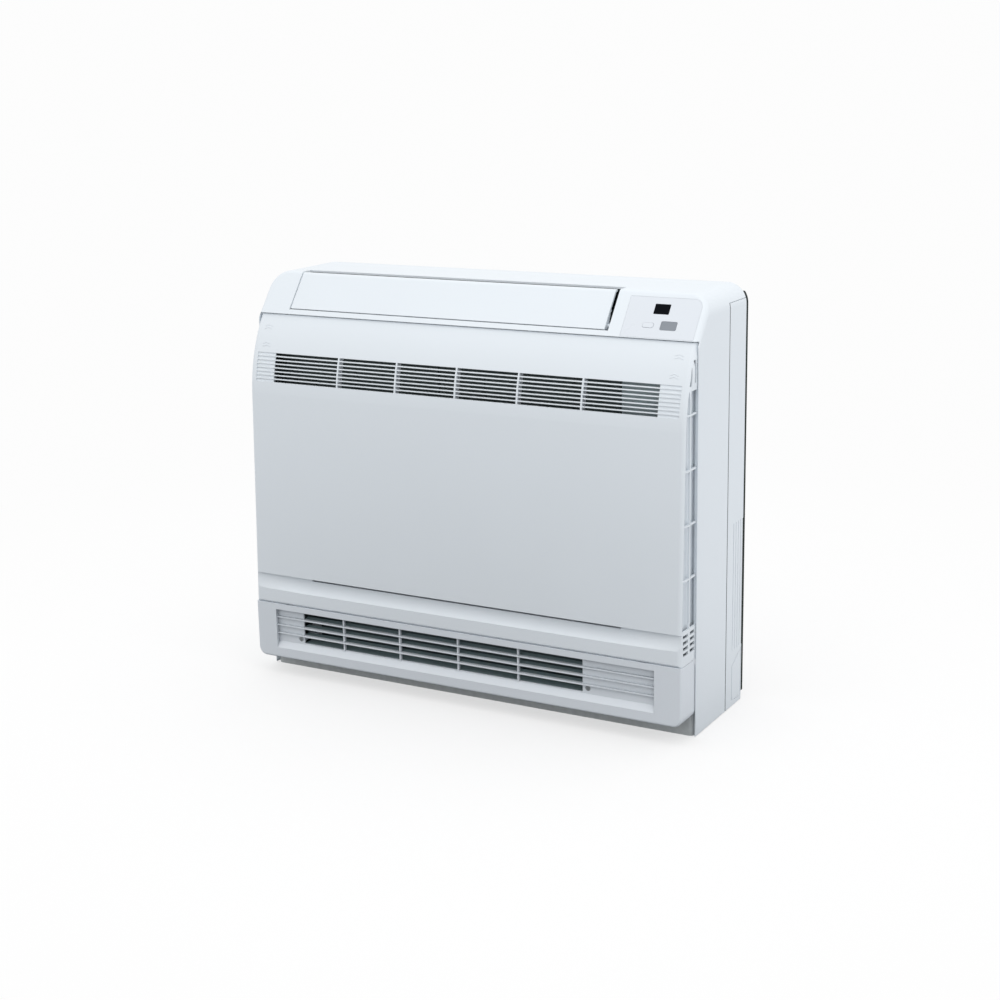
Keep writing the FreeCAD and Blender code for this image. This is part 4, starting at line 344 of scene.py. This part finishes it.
def chevron(name, x, z):
    """Small raised chevron on the panel's face, which is found straight behind (x, z)."""
    ray = nodes["front_panel"].ray_cast(Vector((x, ray_start_y, z)), Vector((0, 1, 0)))
    place, normal = ray[1:3]
    across = Vector((1, 0, 0))
    up = normal.cross(across)
    upper = [(-chevron_half, 0), (0, chevron_rise), (chevron_half, 0)]
    outline = upper + [(u, v - chevron_stroke) for u, v in reversed(upper)]
    count = len(outline)
    corners = []
    for level in (-chevron_sink, chevron_height):
        corners += [place + across * u + up * v + normal * level for u, v in outline]
    faces = [(11, 10, 7, 6), (10, 9, 8, 7), (0, 1, 4, 5), (1, 2, 3, 4)]
    for index in range(count):
        after = (index + 1) % count
        faces.append((index + count, after + count, after, index))
    obj = new_piece(name, corners, faces, finishes["white_plastic"])
    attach(obj, "front_panel")


for side, word in ((-1, "left"), (1, "right")):
    for row, (x, z) in enumerate(chevron_places):
        chevron("chevron_%s_%d_low" % (word, row + 1), side * x, z)
        chevron("chevron_%s_%d_high" % (word, row + 1), side * x, z + chevron_step)


# Ribbed grey cover on the case beside the right filter, seen behind the right end of the upper grille

# The cover's grey stands in for shade seen there.
case_face_y = -0.0565
cover_width = 0.056
cover_gap = 0.001
filter_tab = 0.009
cover_bar = 0.003
cover_bar_depth = 0.0018
cover_plate_depth = 0.001
cover_fields = 4


def add_block(corners, faces, low, high):
    """Adds a closed block between two corners to a mesh's lists."""
    first = len(corners)
    corners += [(x, y, z) for x in (low[0], high[0]) for y in (low[1], high[1]) for z in (low[2], high[2])]
    for face in ((0, 1, 3, 2), (4, 6, 7, 5), (0, 4, 5, 1), (2, 3, 7, 6), (0, 2, 6, 4), (1, 5, 7, 3)):
        faces.append(tuple(first + index for index in face))


def ribbed_cover(name, x0, x1, rear_y, z0, z1):
    """Thin plate with a rim and cross ribs, flat on the case front."""
    inner_x0 = x0 + cover_bar
    inner_x1 = x1 - cover_bar
    bar_y = rear_y - cover_bar_depth
    plate_y = rear_y - cover_plate_depth
    pitch = (z1 - z0 - cover_bar) / cover_fields
    corners = []
    faces = []
    add_block(corners, faces, (x0, bar_y, z0), (inner_x0, rear_y, z1))
    add_block(corners, faces, (inner_x1, bar_y, z0), (x1, rear_y, z1))
    for row in range(cover_fields + 1):
        low = z0 + row * pitch
        add_block(corners, faces, (inner_x0, bar_y, low), (inner_x1, rear_y, low + cover_bar))
    for row in range(cover_fields):
        low = z0 + row * pitch
        add_block(corners, faces, (inner_x0, plate_y, low + cover_bar), (inner_x1, rear_y, low + pitch))
    obj = new_piece(name, corners, faces, cover_shade_finish)
    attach(obj, "cabinet")


filter_low, filter_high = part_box("air_filter_right")
cover_x0 = filter_high[0] + cover_gap
cover_x1 = cover_x0 + cover_width
ribbed_cover("side_cover", cover_x0, cover_x1, case_face_y, filter_low[2], filter_high[2] - filter_tab)


# Blades and sill behind the slats of the floor outlet, which turn the air down

outlet_x0 = -0.2665
outlet_x1 = 0.198
slat_depth = 0.0088
slat_count = 3
slat_low_z = 0.0657
slat_pitch = 0.0125
blade_thickness = 0.0022
blade_depth = 0.007
blade_rise = 0.0022
blade_tip_share = 0.6
blade_curl = 1.5
blade_steps = 6
sill_z = 0.0529
sill_depth = 0.018
sill_rise = 0.0015
slat_rear_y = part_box("lower_front_case")[0][1] + slat_depth


def outlet_blade(name, finish, z, depth, rise):
    """Curved blade that climbs backwards from a slat's rear face and thins towards its tip."""
    profile = []
    for step in range(blade_steps + 1):
        share = step / blade_steps
        middle = z + rise * share ** blade_curl
        half = blade_thickness * (1 - (1 - blade_tip_share) * share) / 2
        profile.append((slat_rear_y + depth * share, middle - half, middle + half))
    corners = []
    for x in (outlet_x0, outlet_x1):
        corners += [Vector((x, y, low)) for y, low, high in profile]
        corners += [Vector((x, y, high)) for y, low, high in reversed(profile)]
    count = 2 * len(profile)
    faces = [tuple(range(count)), tuple(range(2 * count - 1, count - 1, -1))]
    for index in range(count):
        after = (index + 1) % count
        faces.append((index, index + count, after + count, after))
    obj = new_piece(name, corners, faces, finish)
    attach(obj, "cabinet")


# Painted shade: the blades' dark grey stands in for the shade deep between the white slats.
for row in range(slat_count):
    blade_z = slat_low_z + row * slat_pitch
    outlet_blade("outlet_blade_%d" % (row + 1), finishes["grey_plastic"], blade_z, blade_depth, blade_rise)
outlet_blade("outlet_sill", sill_finish, sill_z, sill_depth, sill_rise)


# Floor, light and camera

white = (0.98, 0.98, 0.98)


def floor():
    """Pale floor that gives little light back ahead of the object and fades into white surroundings."""
    reach = 40.0
    pale_shades = ((0.93, 0.93, 0.93), (0.95, 0.95, 0.95))
    bounce_shades = ((0.04, 0.045, 0.05), (0.7, 0.71, 0.73))
    bounce_centre = (-0.05, -0.7, 0.0)
    bounce_near, bounce_far = 0.4, 1.2
    glow_low, glow_full = 0.6, 1.0
    glow_near, glow_far = 0.3, 1.5
    mesh = bpy.data.meshes.new("floor")
    mesh.from_pydata([(-reach, -reach, 0), (reach, -reach, 0), (reach, reach, 0), (-reach, reach, 0)], [],
                     [(0, 1, 2, 3)])
    obj = bpy.data.objects.new("floor", mesh)
    scene.collection.objects.link(obj)
    material, tree, shader, place = new_material("floor")
    pale = tint(tree, noise(tree, place, scale=3.0), *pale_shades)
    away = tree.nodes.new("ShaderNodeVectorMath")
    away.operation = "LENGTH"
    tree.links.new(place, away.inputs[0])
    ahead = tree.nodes.new("ShaderNodeVectorMath")
    ahead.operation = "DISTANCE"
    tree.links.new(place, ahead.inputs[0])
    ahead.inputs[1].default_value = bounce_centre
    bounce_level = ramp(tree, ahead.outputs["Value"], 0.0, 1.0, bounce_near, bounce_far)
    bounce = tint(tree, bounce_level, *bounce_shades)
    path = tree.nodes.new("ShaderNodeLightPath")
    seen = tree.nodes.new("ShaderNodeMix")
    seen.data_type = "RGBA"
    tree.links.new(path.outputs["Is Camera Ray"], seen.inputs["Factor"])
    tree.links.new(bounce, seen.inputs["A"])
    tree.links.new(pale, seen.inputs["B"])
    tree.links.new(seen.outputs["Result"], shader.inputs["Base Color"])
    shader.inputs["Roughness"].default_value = 0.9
    shader.inputs["Specular IOR Level"].default_value = 0.0
    glow = tree.nodes.new("ShaderNodeEmission")
    glow.inputs["Color"].default_value = (*white, 1.0)
    fade = tree.nodes.new("ShaderNodeMath")
    fade.operation = "MULTIPLY"
    tree.links.new(path.outputs["Is Camera Ray"], fade.inputs[0])
    glow_level = ramp(tree, away.outputs["Value"], glow_low, glow_full, glow_near, glow_far)
    tree.links.new(glow_level, fade.inputs[1])
    blend = tree.nodes.new("ShaderNodeMixShader")
    tree.links.new(fade.outputs["Value"], blend.inputs["Fac"])
    tree.links.new(shader.outputs["BSDF"], blend.inputs[1])
    tree.links.new(glow.outputs["Emission"], blend.inputs[2])
    tree.links.new(blend.outputs["Shader"], tree.nodes["Material Output"].inputs["Surface"])
    mesh.materials.append(material)


def area_light(name, place, aim, size, power):
    light = bpy.data.lights.new(name, "AREA")
    light.shape = "SQUARE"
    light.size = size
    light.energy = power
    obj = bpy.data.objects.new(name, light)
    obj.location = place
    obj.rotation_euler = (Vector(aim) - Vector(place)).to_track_quat("-Z", "Y").to_euler()
    scene.collection.objects.link(obj)


def sun(name, aim_from, strength, spread):
    """Sun that shines from a direction, with its spread in degrees."""
    light = bpy.data.lights.new(name, "SUN")
    light.energy = strength
    light.angle = math.radians(spread)
    obj = bpy.data.objects.new(name, light)
    obj.rotation_euler = (-Vector(aim_from)).to_track_quat("-Z", "Y").to_euler()
    scene.collection.objects.link(obj)


def world():
    """White surroundings, a little brighter as a light than they look."""
    light_level = 1.075
    seen_level = 1.0
    surroundings = bpy.data.worlds.new("studio")
    surroundings.use_nodes = True
    tree = surroundings.node_tree
    background = tree.nodes["Background"]
    path = tree.nodes.new("ShaderNodeLightPath")
    seen = tree.nodes.new("ShaderNodeMath")
    seen.operation = "MAXIMUM"
    tree.links.new(path.outputs["Is Camera Ray"], seen.inputs[0])
    tree.links.new(path.outputs["Is Glossy Ray"], seen.inputs[1])
    level = ramp(tree, seen.outputs["Value"], light_level, seen_level, 0.0, 1.0)
    background.inputs["Color"].default_value = (*white, 1.0)
    tree.links.new(level, background.inputs["Strength"])
    scene.world = surroundings


def camera():
    """Camera at the photograph's view point, with angles in radians and the lens in millimetres."""
    yaw = 0.5121
    pitch = 0.2510
    roll = -0.0189
    eye = Vector((1.25176, -2.19806, 0.92938))
    ahead = Vector((-math.sin(yaw) * math.cos(pitch), math.cos(yaw) * math.cos(pitch), -math.sin(pitch)))
    right = Vector((math.cos(yaw), math.sin(yaw), 0))
    up = right.cross(ahead)
    across = right * math.cos(roll) + up * math.sin(roll)
    rise = up * math.cos(roll) - right * math.sin(roll)
    data = bpy.data.cameras.new("camera")
    data.sensor_width = 36.0
    data.lens = 65.04
    obj = bpy.data.objects.new("camera", data)
    turn = Matrix((across, rise, -ahead)).transposed().to_4x4()
    obj.matrix_world = Matrix.Translation(eye) @ turn
    scene.collection.objects.link(obj)
    scene.camera = obj


floor()
world()
camera()
sun("right", aim_from=(0.93, -0.15, 0.33), strength=0.2, spread=40)
sun("front", aim_from=(-0.35, -0.9, 0.3), strength=0.12, spread=40)
area_light("overhead", place=(0.35, -0.55, 1.6), aim=(0.1, 0, 0.58), size=0.8, power=1.9)
